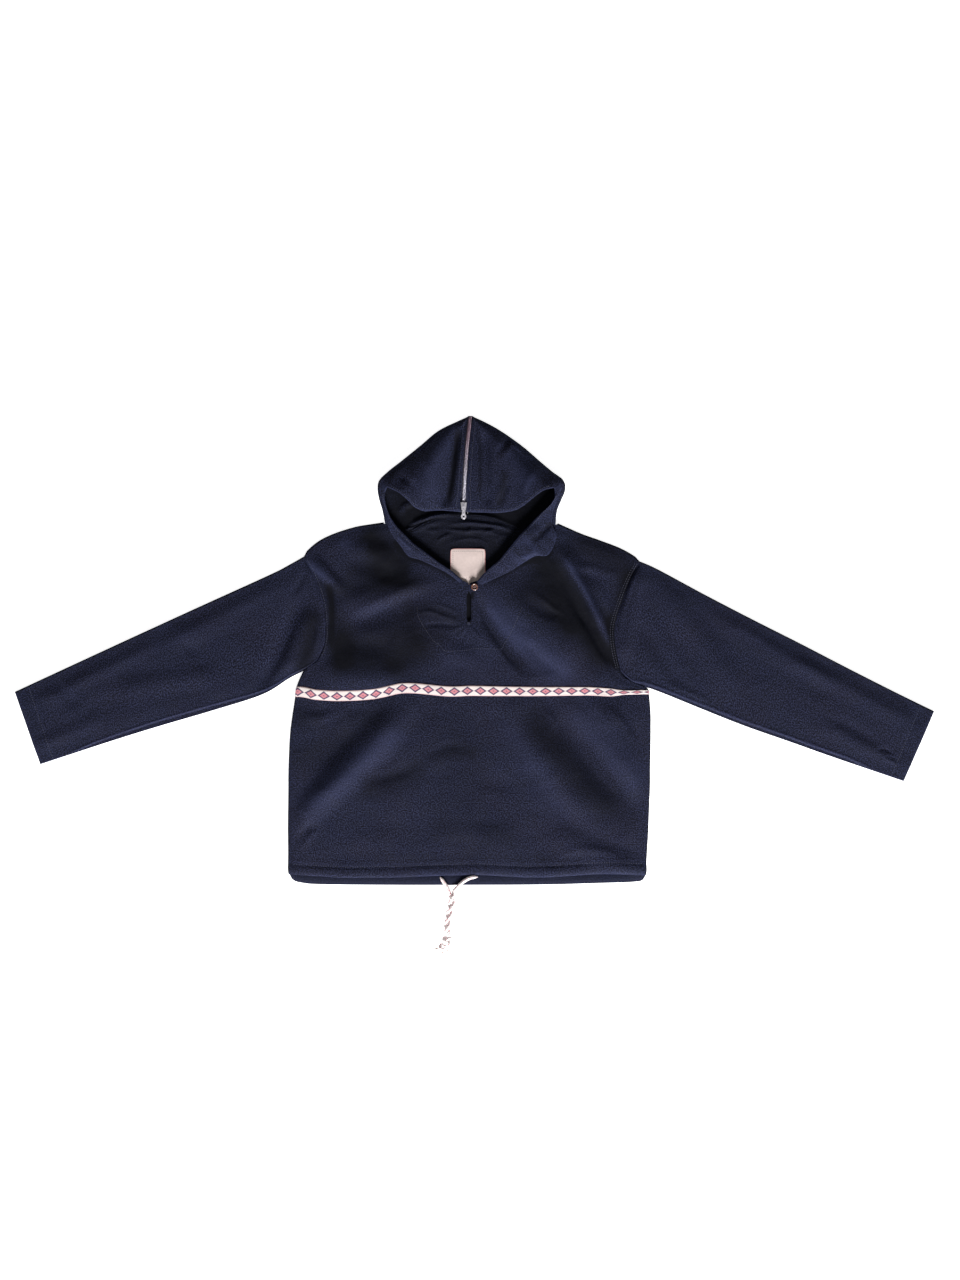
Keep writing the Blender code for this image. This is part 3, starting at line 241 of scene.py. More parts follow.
FRONT_CREASES = creases(
    # the broad ones
    (58, 4.8, 0.35, 20, 98, 80, 52, 135, 6, 195, -44), (20, -2.6, -0.2, 0, 92, 30, 44, 62, 2, 100, -44),
    (56, 3, 0, -262, -50, -190, -44, -110, -50), (27, -2.4, 0, -228, 32, -150, 58, -60, 88),
    (30, 2.8, 0, -222, 66, -150, 92, -60, 124), (24, 2.6, 0, -220, 160, -170, 160, -120, 150),
    (50, 5.4, 0.25, 70, -104, 105, -160, 155, -230, 210, -296),
    (36, -3, 0, 124, -98, 172, -160, 228, -222, 277, -280), (60, 1.6, 0, -30, -110, -44, -180, -20, -250),
    # chest, right
    (S, 9, 3.2, 0.2, 137, 158, 170, 104, 196, 52, 221, -6),
    (12, -3.2, -0.2, 152, 96, 184, 42, 212, -6, 233, -42), (S, 5, 1.6, 0, 212, -14, 224, -28, 234, -40),
    (S, 7, 1.3, 0, 96, 92, 122, 70, 146, 56), (16, -1.6, 0, 70, 92, 105, 66, 150, 50),
    (12, 1.2, 0, 150, 140, 196, 128, 238, 118), (14, 1.4, 0, 176, 120, 205, 84, 226, 40),
    # from the foot of the V to the tape
    (S, 4.5, 1.5, 0, -2, 92, 3, 68, 11, 44), (10, -1.9, 0, 4, 84, 22, 44, 46, 4, 80, -36),
    (17, 1.6, 0, 12, 92, 60, 34, 96, 12, 168, -50), (S, 5.5, 1.5, 0, -26, 46, -48, 54, -72, 62, -94, 58),
    (S, 5, 1, 0, -22, 58, -46, 70, -66, 74), (6, -1.3, 0, -24, 38, -52, 42, -84, 40),
    (S, 4, 1, 0, -9, 42, -20, 28, -34, 16), (S, 4, 0.9, 0, -9, 42, -10, 26, -14, 10),
    (S, 4, 1, 0, -9, 42, 2, 28, 14, 14), (S, 4, 0.9, 0, -9, 42, -26, 36, -44, 26),
    # chest, left
    (15, 1.9, 0, -216, 44, -150, 78, -100, 100, -54, 108), (24, -1.8, 0, -206, 150, -150, 126, -96, 112),
    (S, 9, 3.4, 0, -270, 150, -250, 128, -224, 104), (8, -2.4, 0, -240, 120, -229, 92, -226, 50),
    (S, 5, 1.6, 0, -246, 100, -240, 80, -232, 66), (26, -1.6, 0, -228, 24, -180, 10, -120, 4),
    (26, 1.2, 0, -70, 0, -8, -8, 54, -34),
    # below the tape, left
    (14, 1.6, 0, -284, -104, -250, -108, -212, -94), (22, 1.4, 0, -120, -120, -190, -188, -286, -262),
    (15, -1.6, 0, -178, -212, -130, -198, -86, -180), (9, -1.4, 0, -290, -312, -274, -290, -256, -272),
    (7, 1.5, 0, -280, -322, -262, -296, -244, -284), (13, -1, 0, -84, -174, -56, -158, -34, -152, 2, -165),
    (22, 1.2, 0, -90, -300, -20, -288, 60, -302), (5, 0.8, 0, -296, -160, -282, -164, -268, -160),
    # below the tape, right
    (20, 1.4, 0, 156, -82, 206, -146, 262, -222), (S, 6, 1.1, 0, 110, -92, 124, -108, 134, -128),
    (10, 1.1, 0, 214, -90, 240, -120, 262, -160), (12, 1, 0, 120, -330, 180, -318, 250, -330),
    (22, -0.9, 0, 20, -200, 60, -230, 70, -270))
# painted shade (under 0) and painted highlight (over 0) on the front, laid out as creases
FRONT_PAINTED_SHADING = creases(
    (48, -0.5, 0, -176, 204, -150, 170, -94, 124), (24, -0.3, 0, -220, 130, -150, 126, -60, 96),
    (34, -0.3, 0, -236, 90, -214, 30, -216, -44), (46, -0.3, 0, -196, 176, -160, 150, -120, 104),
    (44, -0.42, 0, 140, 190, 206, 156, 252, 110, 244, 20), (60, -0.5, 0, -244, 0, -160, 6, -70, 36),
    (40, -0.3, 0, -150, -40, -80, 0, -60, 50), (54, -0.72, 0, 96, 170, 124, 120, 176, 50, 228, -40),
    (10, 0.75, 0, 138, 156, 172, 104, 198, 52, 222, -6), (16, -0.4, 0, 212, 60, 228, 10, 232, -40),
    (12, 0.5, 0, -268, 146, -246, 124, -218, 104), (8, -0.6, 0, -131, 184, -110, 154, -62, 133, -23, 108),
    (9, -0.6, 0, 131, 181, 112, 151, 80, 141, 31, 114, 11, 105), (9, -0.5, 0, -234, 116, -228, 60, -232, 0),
    (26, -0.34, 0, 236, -40, 222, 30, 244, 100, 262, 140), (16, -0.32, 0, 0, 90, 34, 20, 84, -36),
    (40, -0.4, 0, 60, 110, 110, 66, 170, 20), (38, 0.42, 0, 8, 92, 64, 26, 166, -56),
    (26, 0.1, 0, -200, 50, -150, 70, -50, 104), (34, -0.36, 0, -262, 98, -180, 102, -80, 96),
    (26, -0.32, 0, -124, 66, -60, 62, -10, 40), (22, -0.16, 0, -236, -30, -160, -24, -100, -30),
    (18, 0.3, 0, -220, 176, -200, 170, -166, 164), (40, 0.14, 0, -60, -30, 0, -20, 40, -30),
    (40, -0.3, 0, -130, -84, -200, -132, -300, -190), (44, 0.26, 0, -112, -116, -190, -184, -290, -262),
    (46, -0.42, 0, 70, -84, 160, -190, 240, -276), (40, 0.14, 0, 46, -96, 90, -180, 150, -280),
    (40, 0.2, 0, 150, -84, 214, -150, 276, -230), (36, -0.34, 0, -190, -224, -130, -204, -70, -180),
    (26, -0.24, 0, -90, -174, -30, -158, 14, -170), (70, -0.12, 0, -60, -110, -20, -150, -10, -280),
    (26, -0.26, 0, -296, -90, -270, -110, -240, -104), (40, -0.2, 0, -80, -280, 0, -300, 80, -290),
    (16, -0.1, 0, -240, -334, -120, -330, 240, -334), (5, -0.7, 0, -3, 94, -3, 88, -4, 82),
    (7, -0.7, 0, -9, 94, -8, 60, -9, 42))
FRONT_PUCKERS = (
    Pucker(((-241, 6), (-238, 28), (-240, 68), (-248, 97)), 9, 1.0, 9, 3),
    Pucker(((225, 4), (223, 36), (230, 62), (241, 93), (256, 126)), 6, 0.5, 8, 5),
    Pucker(((-296, -358), (-297, -275), (-297, -200), (-290, -100)), 7, 0.9, 17, 8),
    Pucker(((273, -360), (278, -270), (280, -200), (281, -100)), 7, 0.7, 15, 9),
    Pucker(((-290, -90), (-225, -98), (-119, -86), (0, -88), (100, -88), (278, -88)), 10, 0.8, 16, 11),
    Pucker(((-282, -46), (-225, -50), (-119, -38), (0, -42), (100, -42), (268, -42)), 8, 0.5, 18, 12),
    Pucker(((-290, -346), (-130, -350), (0, -348), (120, -350), (270, -348)), 9, 0.5, 12, 14),
    Pucker(((-252, 173), (-190, 197), (-150, 203)), 9, 0.7, 12, 15),
    Pucker(((150, 196), (204, 174), (250, 154)), 9, 0.7, 12, 16))
LEFT_SLEEVE_CREASES = creases(
    (13, -2.2, -0.3, -343, -64, -318, -8, -286, 72), (S, 6, 1.9, 0, -258, -6, -250, 28, -254, 70),
    (9, -1.3, 0, -270, 130, -282, 104, -296, 84), (14, -1.1, 0, -468, 20, -454, 4, -440, -12),
    (14, -1.1, 0, -672, -46, -650, -72, -626, -98), (20, 0.9, 0, -372, 58, -420, 30, -470, 20),
    (20, 0.8, 0, -560, -60, -610, -70, -650, -110))
LEFT_SLEEVE_PUCKERS = (
    Pucker(((-241, 6), (-238, 28), (-240, 68), (-254, 113)), 8, 0.7, 9, 23),
    Pucker(((-712, -66), (-700, -100), (-672, -172)), 8, 0.3, 10, 24))
RIGHT_SLEEVE_CREASES = creases(
    (S, 7, 1.5, 0, 240, -22, 232, 30, 248, 96, 266, 134), (13, -0.9, 0, 570, -108, 606, -124, 644, -148),
    (16, -0.8, 0, 420, 40, 440, 14, 470, 4), (18, -0.8, 0, 500, -30, 540, -50, 560, -84),
    (S, 5, 1.2, 0, 650, -168, 664, -176, 684, -184), (5, -1.1, 0, 640, -160, 656, -158, 672, -166),
    (9, 1, 0, 300, -52, 340, -66, 380, -84), (9, 0.8, 0, 680, -80, 690, -110, 676, -150))
RIGHT_SLEEVE_PUCKERS = (
    Pucker(((225, 4), (223, 36), (230, 62), (241, 93), (256, 126)), 6, 0.4, 9, 25),
    Pucker(((716, -96), (700, -130), (664, -196)), 8, 0.5, 10, 26))
CROWN_CREASES = creases(
    (9, -2.6, 0.2, -28, 358, -34, 300, -40, 262, -46, 228), (S, 4, 0.9, 0, -18, 352, -22, 300, -27, 240),
    (5, -1.6, 0, 8, 350, 10, 330, 12, 300, 14, 262), (8, -2.4, 0, 55, 274, 48, 252, 40, 228),
    (S, 6, -1.6, 0, 59, 340, 44, 324, 34, 310), (6, 1.3, 0, 66, 338, 54, 322, 46, 306),
    (9, 1.2, 0, 24, 330, 28, 290, 26, 250), (14, 1, 0, -92, 318, -66, 280, -60, 240),
    (9, -1, 0, -124, 282, -104, 268, -88, 250), (9, 1.1, 0, 96, 290, 84, 270, 76, 244))
CROWN_PUCKERS = (
    Pucker(((-100, 232), (-81, 225), (-64, 226), (-46, 226), (-24, 224)), 6, 1.5, 6.5, 31),
    Pucker(((-10, 223), (14, 223), (40, 222), (64, 226), (86, 240)), 5, 0.6, 9, 32),
    Pucker(((-20, 364), (-58, 346), (-118, 296), (-150, 266)), 7, 0.5, 14, 33),
    Pucker(((15, 360), (42, 346), (105, 296), (140, 266)), 7, 0.5, 14, 34))
# painted shade (under 0) and painted highlight (over 0) on the crown, laid out as creases
CROWN_PAINTED_SHADING = creases(
    (10, -0.75, 0, -25, 362, -31, 310, -36, 270, -42, 226), (4, -0.45, 0, -12, 370, -17, 300, -22, 226),
    (30, 0.22, 0, -46, 350, -62, 300, -80, 240), (34, 0.2, 0, 30, 350, 60, 300, 100, 262),
    (6, -0.45, 0, 6, 356, 9, 320, 8, 240), (12, -0.55, 0, 50, 290, 46, 262, 38, 226),
    (9, -0.4, 0, 66, 344, 52, 322, 36, 306), (16, 0.2, 0, 110, 290, 90, 270, 74, 244),
    (20, -0.25, 0, -150, 272, -120, 290, -84, 300), (14, -0.3, 0, 144, 270, 120, 276, 100, 270))
INNER_CREASES = creases(
    (S, 6, 3.4, 0.2, -112, 189, -96, 203, -71, 213, -50, 217, -24, 218),
    (7, 1.4, 0, -106, 181, -90, 194, -66, 204, -44, 206),
    (S, 6, 2.8, 0.2, -44, 200, -13, 204, 18, 201.5, 41, 198, 62, 190, 74, 187),
    (8, 1, 0, -16, 213, 16, 212, 50, 206), (S, 5, 1.6, 0, -60, 196, -20, 191, 20, 191, 54, 178),
    (S, 4, 1.6, 0, -62, 170, -52, 180, -34, 188), (S, 4, 1.2, 0, -12, 180, -8, 192, -2, 200),
    (S, 4, 1.4, 0, 10, 180, 20, 190, 38, 196), (S, 5, 1.4, 0, 56, 160, 62, 172, 76, 180),
    (S, 4.5, 1.1, 0, -48, 164, -30, 175, -6, 179, 14, 174, 28, 161), (S, 4, 1.1, 0, 36, 172, 40, 180, 52, 186),
    (S, 4, 1, 0, 30, 184, 36, 176, 34, 166), (6, 1, 0, -84, 196, -70, 192, -52, 190),
    (7, 1.2, 0, 74, 200, 88, 190, 96, 176), (8, 1.8, 0, -120, 214, -112, 230, -96, 236))
BAND_CREASES = creases(
    (7, -2, 0, 130, 210, 96, 176, 92, 168), (S, 6, 1.6, 0, 92, 168, 96, 158, 100, 151),
    (S, 5, 1.2, 0, -128, 186, -112, 172, -96, 156), (6, 1, 0, 70, 150, 84, 150, 98, 158))


# ---------------------------------------------------------------- curves and reliefs
def smoothstep(t: Array | float) -> Array:
    """0 to 1 with level ends."""
    t = np.clip(t, 0.0, 1.0)
    return t * t * (3.0 - 2.0 * t)


def within(t: Array, first: float, last: float) -> Array:
    """1 inside the span from 0 to 1, and 0 at its ends, over a first and a last share."""
    return smoothstep(t / first) * smoothstep((1 - t) / last)


def ridge(off: Array, width: float) -> Array:
    """1 on a line, fading to both sides of it."""
    return np.exp(-(off / width) ** 2)


def fading(off: Array, reach: float) -> Array:
    """1 at an edge, fading away from it."""
    return np.exp(-off / reach)


def mix(a: Array | float, b: Array | float, t: Array | float) -> Array:
    """Value between a and b."""
    return a + (b - a) * t


def wander(x: Array | float, table: Sequence, soft: float = 9.0) -> Array:
    """How far a line lies off its row at x, with its corners rounded."""
    at, off = zip(*table)
    return sum(np.interp(np.asarray(x) + k * soft, at, off) for k in (-1, -0.5, 0, 0.5, 1)) / 5


def join(*columns: Array) -> Array:
    """Rows of numbers from their columns."""
    return np.stack(columns, axis=1)


def row_lengths(step: Array) -> Array:
    """Length of each row of numbers."""
    return np.linalg.norm(step, axis=1)


def run_along(points: Array) -> Array:
    """Distance from the first point along a line to each of its points."""
    return np.concatenate([[0.0], np.cumsum(row_lengths(np.diff(points, axis=0)))])


def through(rows: Sequence, s: Array) -> Array:
    """Smooth curve through rows of numbers.

    Args:
        rows: the table's rows.
        s: row numbers, which may lie between rows.

    Returns:
        One row of numbers for each s.
    """
    table = np.asarray(rows, float)
    last = len(table) - 1
    i = np.clip(np.floor(s).astype(int), 0, last - 1)
    t = (np.asarray(s, float) - i)[:, None]
    p0, p1, p2, p3 = (table[np.clip(i + k, 0, last)] for k in (-1, 0, 1, 2))
    slope_1, slope_2 = (p2 - p0) / 2.0, (p3 - p1) / 2.0
    return ((2 * t**3 - 3 * t**2 + 1) * p1 + (t**3 - 2 * t**2 + t) * slope_1
            + (3 * t**2 - 2 * t**3) * p2 + (t**3 - t**2) * slope_2)


class Route:
    """A smooth curve through a few points, read by its share of length."""

    def __init__(self, points: Sequence, steps: int = 12) -> None:
        """Keeps the curve as many short steps."""
        count = (len(points) - 1) * steps
        self.dense = through(points, np.arange(count + 1) / steps)
        self.lengths = run_along(self.dense)

    @property
    def length(self) -> float:
        """Length of the whole curve."""
        return float(self.lengths[-1])

    def at(self, share: Array | float) -> Array:
        """Points at shares of the length, 0 to 1."""
        want = np.atleast_1d(share) * self.length
        return np.stack([np.interp(want, self.lengths, column) for column in self.dense.T], axis=1)


def near_line(line: Sequence, x: Array, y: Array) -> tuple[Array, Array, float]:
    """Places beside a smooth line.

    Args:
        line: points of the line.
        x: places to measure.
        y: places to measure.

    Returns:
        Signed distance (over 0 on the line's left), distance along it, and its length.
    """
    route = Route([p[:2] for p in line], 8)
    a, b = route.dense[:-1], route.dense[1:]
    step = b - a
    size = np.maximum((step**2).sum(1), 1e-9)
    best = np.full(len(x), 1e9)
    signed, along = np.zeros(len(x)), np.zeros(len(x))
    for k in range(len(a)):
        t = np.clip(((x - a[k, 0]) * step[k, 0] + (y - a[k, 1]) * step[k, 1]) / size[k], 0.0, 1.0)
        dx, dy = x - a[k, 0] - t * step[k, 0], y - a[k, 1] - t * step[k, 1]
        distance = np.hypot(dx, dy)
        closer = distance < best
        best = np.where(closer, distance, best)
        side = np.where(step[k, 0] * dy - step[k, 1] * dx < 0, -1.0, 1.0)
        signed = np.where(closer, side * distance, signed)
        along = np.where(closer, mix(route.lengths[k], route.lengths[k + 1], t), along)
    return signed, along, route.length


def crease_height(creases: Sequence[Crease], x: Array, y: Array, fade: float = 0.34) -> Array:
    """Sum of the creases at each place; each fades out over that share of its length at both ends."""
    total = np.zeros(len(x))
    for c in creases:
        xs, ys = [p[0] for p in c.line], [p[1] for p in c.line]
        reach = c.width * (1 + abs(c.lean)) + 4
        close = np.nonzero((x > min(xs) - reach) & (x < max(xs) + reach)
                           & (y > min(ys) - reach) & (y < max(ys) + reach))[0]
        if not len(close):
            continue
        signed, along, length = near_line(c.line, x[close], y[close])
        half = c.width * (1 + c.lean * np.sign(signed))
        t = np.minimum(np.abs(signed) / half, 1.0)
        section = 0.5 + 0.5 * np.cos(np.pi * t)
        if c.profile is Profile.SHARP:
            section = 0.45 * section + 0.55 * (1 - t) ** 2
        ends = smoothstep(along / (fade * length)) * smoothstep((length - along) / (fade * length))
        total[close] += 1.25 * c.height * section * (0.1 + 0.9 * ends)
    return total


def pucker_height(puckers: Sequence[Pucker], x: Array, y: Array) -> Array:
    """Sum of the seams' small waves at each place."""
    total = np.zeros(len(x))
    for p in puckers:
        signed, along, length = near_line(p.line, x, y)
        wave = np.random.default_rng(p.start).uniform(-1.0, 1.0, int(length / p.pitch) + 4)
        at = along / p.pitch
        i = np.floor(at).astype(int)
        value = mix(wave[i], wave[i + 1], smoothstep(at - i))
        ends = smoothstep(along / 12.0) * smoothstep((length - along) / 12.0)
        total += p.height * value * ends * ridge(signed, p.reach)
    return total


def fold_height(folds: Sequence[Fold], x: Array, y: Array) -> Array:
    """Sum of the broad folds at each place: a rounded section that fades at both ends."""
    total = np.zeros(len(x))
    for f in folds:
        dx, dy = f.x1 - f.x0, f.y1 - f.y0
        length = math.hypot(dx, dy)
        along = ((x - f.x0) * dx + (y - f.y0) * dy) / length
        across = ((x - f.x0) * dy - (y - f.y0) * dx) / length
        inside = (np.abs(across) < f.width) & (along > -f.width) & (along < length + f.width)
        section = 0.5 + 0.5 * np.cos(np.pi * across / f.width)
        fade = smoothstep((along + f.width) / (2 * f.width))
        fade = fade * smoothstep((length + f.width - along) / (2 * f.width))
        total += np.where(inside, f.height * section * fade, 0.0)
    return total


def unevenness(x: Array, y: Array, pitch: float, start: int) -> Array:
    """Gentle uneven swells of about the pitch, from -1 to 1."""
    numbers = np.random.default_rng(start)
    total = np.zeros(len(x))
    for k in range(6):
        angle, phase = numbers.uniform(0, math.pi), numbers.uniform(0, 2 * math.pi)
        wave = 2 * math.pi / (pitch * numbers.uniform(0.7, 1.6))
        total += np.sin(wave * (x * math.cos(angle) + y * math.sin(angle)) + phase)
    return total / 4.0


def crumple(x: Array, y: Array, start: int) -> Array:
    """The cloth's own soft crumples: broad swells, shorter ones, and a few drawn-up lines."""
    drawn = 1.0 - np.abs(unevenness(x, y, 74.0, start + 200))
    where = smoothstep(0.5 + unevenness(x, y, 160.0, start + 300))
    return (0.85 * unevenness(x, y, 78.0, start) + 0.28 * unevenness(x, y, 31.0, start + 100)
            + 0.07 * unevenness(x, y, 13.0, start + 150) + 0.6 * where * np.clip(drawn, 0, 1) ** 5)


def coons(side_a: Array, side_b: Array, end_0: Array, end_1: Array, corners: Array,
          u: Array, v: Array) -> Array:
    """Points of the patch between four edges.

    Args:
        side_a: edge at u = 0, read at v.
        side_b: edge at u = 1, read at v.
        end_0: edge at v = 0, read at u.
        end_1: edge at v = 1, read at u.
        corners: the corners 00, 10, 01 and 11.
        u: place across.
        v: place along.

    Returns:
        The points.
    """
    u, v = u[:, None], v[:, None]
    return ((1 - u) * side_a + u * side_b + (1 - v) * end_0 + v * end_1
            - ((1 - u) * (1 - v) * corners[0] + u * (1 - v) * corners[1]
               + (1 - u) * v * corners[2] + u * v * corners[3]))


def spaced(start: float, end: float, step: float, fine: float, reach: float) -> list[float]:
    """Numbers from start to end, set closer within reach of both ends."""
    places, at = [start], start
    while at < end - fine:
        near = min(at - start, end - at)
        at += mix(fine, step, float(smoothstep(near / reach)))
        places.append(min(at, end))
    places[-1] = end
    return places


# ---------------------------------------------------------------- finishes
class NodeSheet:
    """The nodes of one material."""

    def __init__(self, name: str) -> None:
        """Starts from one principled shader."""
        self.material = bpy.data.materials.new(name)
        self.material.use_nodes = True
        self.tree = self.material.node_tree
        self.shader = self.tree.nodes["Principled BSDF"]

    def add(self, kind: str, inputs: dict | None = None, **settings: object) -> bpy.types.Node:
        """Adds a node.

        Args:
            kind: the node's type, without its ShaderNode prefix.
            inputs: a value or a socket for each input, by name or number.
            settings: the node's own properties.

        Returns:
            The node.
        """
        node = self.tree.nodes.new("ShaderNode" + kind)
        for name, value in settings.items():
            setattr(node, name, value)
        for name, value in (inputs or {}).items():
            self.feed(node.inputs[name], value)
        return node

    def feed(self, socket: Socket, value: object) -> None:
        """Links a socket or sets its value; a colour gets full cover."""
        if isinstance(value, Socket):
            self.tree.links.new(value, socket)
        else:
            socket.default_value = (*value, 1.0) if socket.type == "RGBA" else value

    def math(self, operation: str, a: object, b: object = 0.0, clamp: bool = False) -> Socket:
        """A number worked out from one or two others."""
        return self.add("Math", {0: a, 1: b}, operation=operation, use_clamp=clamp).outputs[0]

    def times(self, a: object, b: object, clamp: bool = False) -> Socket:
        """The product of two numbers."""
        return self.math("MULTIPLY", a, b, clamp)

    def plus(self, a: object, b: object) -> Socket:
        """The sum of two numbers."""
        return self.math("ADD", a, b)

    def size_of(self, a: object) -> Socket:
        """A number without its sign."""
        return self.math("ABSOLUTE", a)

    def mapped(self, vector: object, **settings: tuple) -> Socket:
        """Places stretched by Scale, turned by Rotation or moved by Location."""
        return self.add("Mapping", {"Vector": vector, **settings}).outputs[0]

    def parts(self, vector: object) -> Sequence:
        """The three numbers of a place."""
        return self.add("SeparateXYZ", {0: vector}).outputs

    def spot(self) -> Socket:
        """The place on the piece itself."""
        return self.add("TexCoord").outputs["Object"]

    def blend(self, share: object, a: object, b: object) -> Socket:
        """A colour between two others."""
        return self.add("Mix", {0: share, 6: a, 7: b}, data_type="RGBA").outputs[2]

    def noise(self, vector: object, scale: float, detail: float = 2.0) -> Socket:
        """Even noise from 0 to 1."""
        return self.add("TexNoise", {"Vector": vector, "Scale": scale, "Detail": detail}).outputs[0]

    def spread(self, value: object, low: float, high: float, start: float = 0.0,
               end: float = 1.0) -> Socket:
        """A number moved from one range to another and kept in it."""
        return self.add("MapRange", {0: value, 1: low, 2: high, 3: start, 4: end}).outputs[0]

    def cut(self) -> Socket:
        """The place on the piece's own flat cut."""
        return self.add("UVMap", uv_map="cut").outputs[0]

    def bump(self, height: object, distance: float, strength: float = 1.0) -> None:
        """Raises the surface by a height."""
        node = self.add("Bump", {"Height": height, "Distance": distance, "Strength": strength})
        self.set(Normal=node.outputs[0])

    def set(self, **sockets: object) -> None:
        """Sets or links sockets of the shader; an underscore stands for a space."""
        for name, value in sockets.items():
            self.feed(self.shader.inputs[name.replace("_", " ")], value)


class Finish:
    """A finish: its colours and sizes are fields, and paint() lays its nodes."""

    name: str

    def paint(self, n: NodeSheet) -> None:
        """Lays the nodes of the material."""

    def make(self) -> Material:
        """The material."""
        n = NodeSheet(self.name)
        self.paint(n)
        return n.material


@dataclass(frozen=True)
class Twill(Finish):
    """Navy cotton twill with a dull sheen, paler where its per-point value is over 0 (rubbed edges and painted light)
    and darker where it is under 0 (painted shade).
    """

    name: str = "twill"
    base: tuple = (0.0036, 0.0041, 0.0092)
    light: tuple = (0.0058, 0.0066, 0.0152)
    warm: tuple = (0.0066, 0.0053, 0.0102)
    # pale bluish navy for rubbed cloth and for painted light on slopes that face the lamp; the pale yarn specks use
    # it too
    rub_and_painted_light: tuple = (0.0230, 0.0275, 0.0640)
    # darkest navy for the dark yarn specks and for painted shade
    deep: tuple = (0.0008, 0.0009, 0.0022)
    rib_pitch: float = 1.15
    rib_angle: float = 62.0

    def paint(self, n: NodeSheet) -> None:
        """Its nodes."""
        cut = n.cut()
        turned = n.mapped(cut, Rotation=(0, 0, math.radians(self.rib_angle)))
        rib = n.add("TexWave", {"Vector": turned, "Scale": 0.314 / (self.rib_pitch * MM), "Distortion": 0.7,
                                "Detail": 1.0, "Detail Scale": 1.4}).outputs["Fac"]
        yarn = n.noise(cut, 1500.0, 1.0)
        slub = n.noise(n.mapped(cut, Scale=(60, 420, 1)), 1.0, 2.0)
        cloud = n.noise(cut, 46.0, 4.0)
        patch = n.noise(cut, 9.0, 2.0)
        colour = n.blend(n.spread(cloud, 0.32, 0.7), self.base, self.light)
        colour = n.blend(n.spread(patch, 0.42, 0.66, 0.0, 0.7), colour, self.warm)
        speck = n.spread(n.times(yarn, n.plus(rib, 0.6)), 0.45, 0.95)
        colour = n.blend(n.times(speck, 0.5), colour, self.rub_and_painted_light)
        grain = n.noise(cut, 550.0, 1.0)
        colour = n.blend(n.spread(grain, 0.5, 0.66, 0.0, 0.8), colour, self.rub_and_painted_light)
        colour = n.blend(n.spread(grain, 0.5, 0.37, 0.0, 0.95), colour, self.deep)
        wear_and_painted_light = n.add("Attribute", attribute_name="wear_and_painted_light").outputs["Fac"]
        # painted shade: darker where the per-point value is under 0
        colour = n.blend(n.spread(wear_and_painted_light, 0.0, -1.0), colour, self.deep)
        # paler where it is over 0: rubbed edges and painted light
        rub_and_painted_light = n.times(wear_and_painted_light, n.spread(n.noise(cut, 320.0, 3.0), 0.25, 0.7, 0.25, 1.0), True)
        n.set(Base_Color=n.blend(rub_and_painted_light, colour, self.rub_and_painted_light),
              Roughness=n.spread(cloud, 0.3, 0.7, 0.78, 0.92),
              Specular_IOR_Level=0.10, Sheen_Weight=0.05, Sheen_Roughness=0.42,
              Sheen_Tint=(0.40, 0.50, 1.0))
        height = n.plus(n.times(rib, 0.5), n.times(yarn, 0.45))
        height = n.plus(height, n.times(slub, 0.5))
        height = n.plus(height, n.times(n.noise(cut, 140.0, 3.0), 2.2))
        n.bump(height, 0.00022, 0.9)


@dataclass(frozen=True)
class DiamondTape(Finish):
    """Woven cotton tape: cream, with a rose diamond in a fine slate outline at each pitch."""

    name: str = "diamond_tape"
    ground: tuple = (0.74, 0.68, 0.65)
    rose: tuple = (0.50, 0.11, 0.15)
    slate: tuple = (0.065, 0.040, 0.095)
    edge: tuple = (0.50, 0.34, 0.36)
    half_length: float = 8.6
    half_width: float = 6.2
    pitch: float = 20.84
    half_band: float = 8.4

    def paint(self, n: NodeSheet) -> None:
        """Its nodes; along the band the cut counts in pitches, across it from -1 to 1."""
        cut = n.parts(n.cut())
        yarns = n.noise(n.mapped(n.cut(), Scale=(26, 3, 1)), 3.0, 2.0)
        wobble = n.times(n.math("SUBTRACT", yarns, 0.5), 0.22)
        along = n.size_of(n.math("SUBTRACT", n.math("FRACT", cut[0]), 0.5))
        across = n.size_of(cut[1])
        reach = n.plus(n.times(along, self.pitch / self.half_length),
                       n.times(across, self.half_band / self.half_width))
        reach = n.plus(reach, wobble)
        thread = n.noise(n.mapped(n.cut(), Scale=(30, 1.5, 1)), 4.0, 1.0)
        ground = n.blend(n.spread(thread, 0.3, 0.7, 0.0, 0.35), self.ground, self.edge)
        colour = n.blend(n.spread(across, 0.84, 0.95), ground, self.edge)
        colour = n.blend(n.spread(reach, 1.22, 1.12), colour, self.slate)
        rose = n.blend(n.spread(thread, 0.35, 0.65, 0.0, 0.35), self.rose, self.ground)
        colour = n.blend(n.spread(reach, 0.80, 0.72), colour, rose)
        colour = n.blend(n.spread(reach, 0.2, 0.1), colour, self.slate)
        weft = n.math("SINE", n.times(cut[0], 2 * math.pi * 26))
        warp = n.math("SINE", n.times(cut[1], 2 * math.pi * 9))
        height = n.plus(n.times(weft, warp), n.times(yarns, 1.4))
        raised = n.times(n.spread(reach, 1.1, 1.0), 1.3)
        n.set(Base_Color=colour, Roughness=0.86, Specular_IOR_Level=0.25, Sheen_Weight=0.15)
        n.bump(n.plus(height, raised), 0.00014, 0.8)


@dataclass(frozen=True)
class Yarn(Finish):
    """Plain woven or spun yarn in one colour, with its own grain."""

    name: str
    colour: tuple
    shade: tuple
    scale: float = 900.0
    roughness: float = 0.85
    depth: float = 0.00012

    def paint(self, n: NodeSheet) -> None:
        """Its nodes."""
        place = n.spot()
        grain = n.noise(place, self.scale, 3.0)
        broad = n.noise(place, self.scale / 14.0, 3.0)
        share = n.times(n.spread(grain, 0.35, 0.7), n.spread(broad, 0.2, 0.75, 0.45, 1.0))
        n.set(Base_Color=n.blend(share, self.colour, self.shade),
              Roughness=n.spread(broad, 0.3, 0.7, self.roughness - 0.08, self.roughness + 0.05),
              Specular_IOR_Level=0.25, Sheen_Weight=0.2)
        n.bump(grain, self.depth, 0.9)


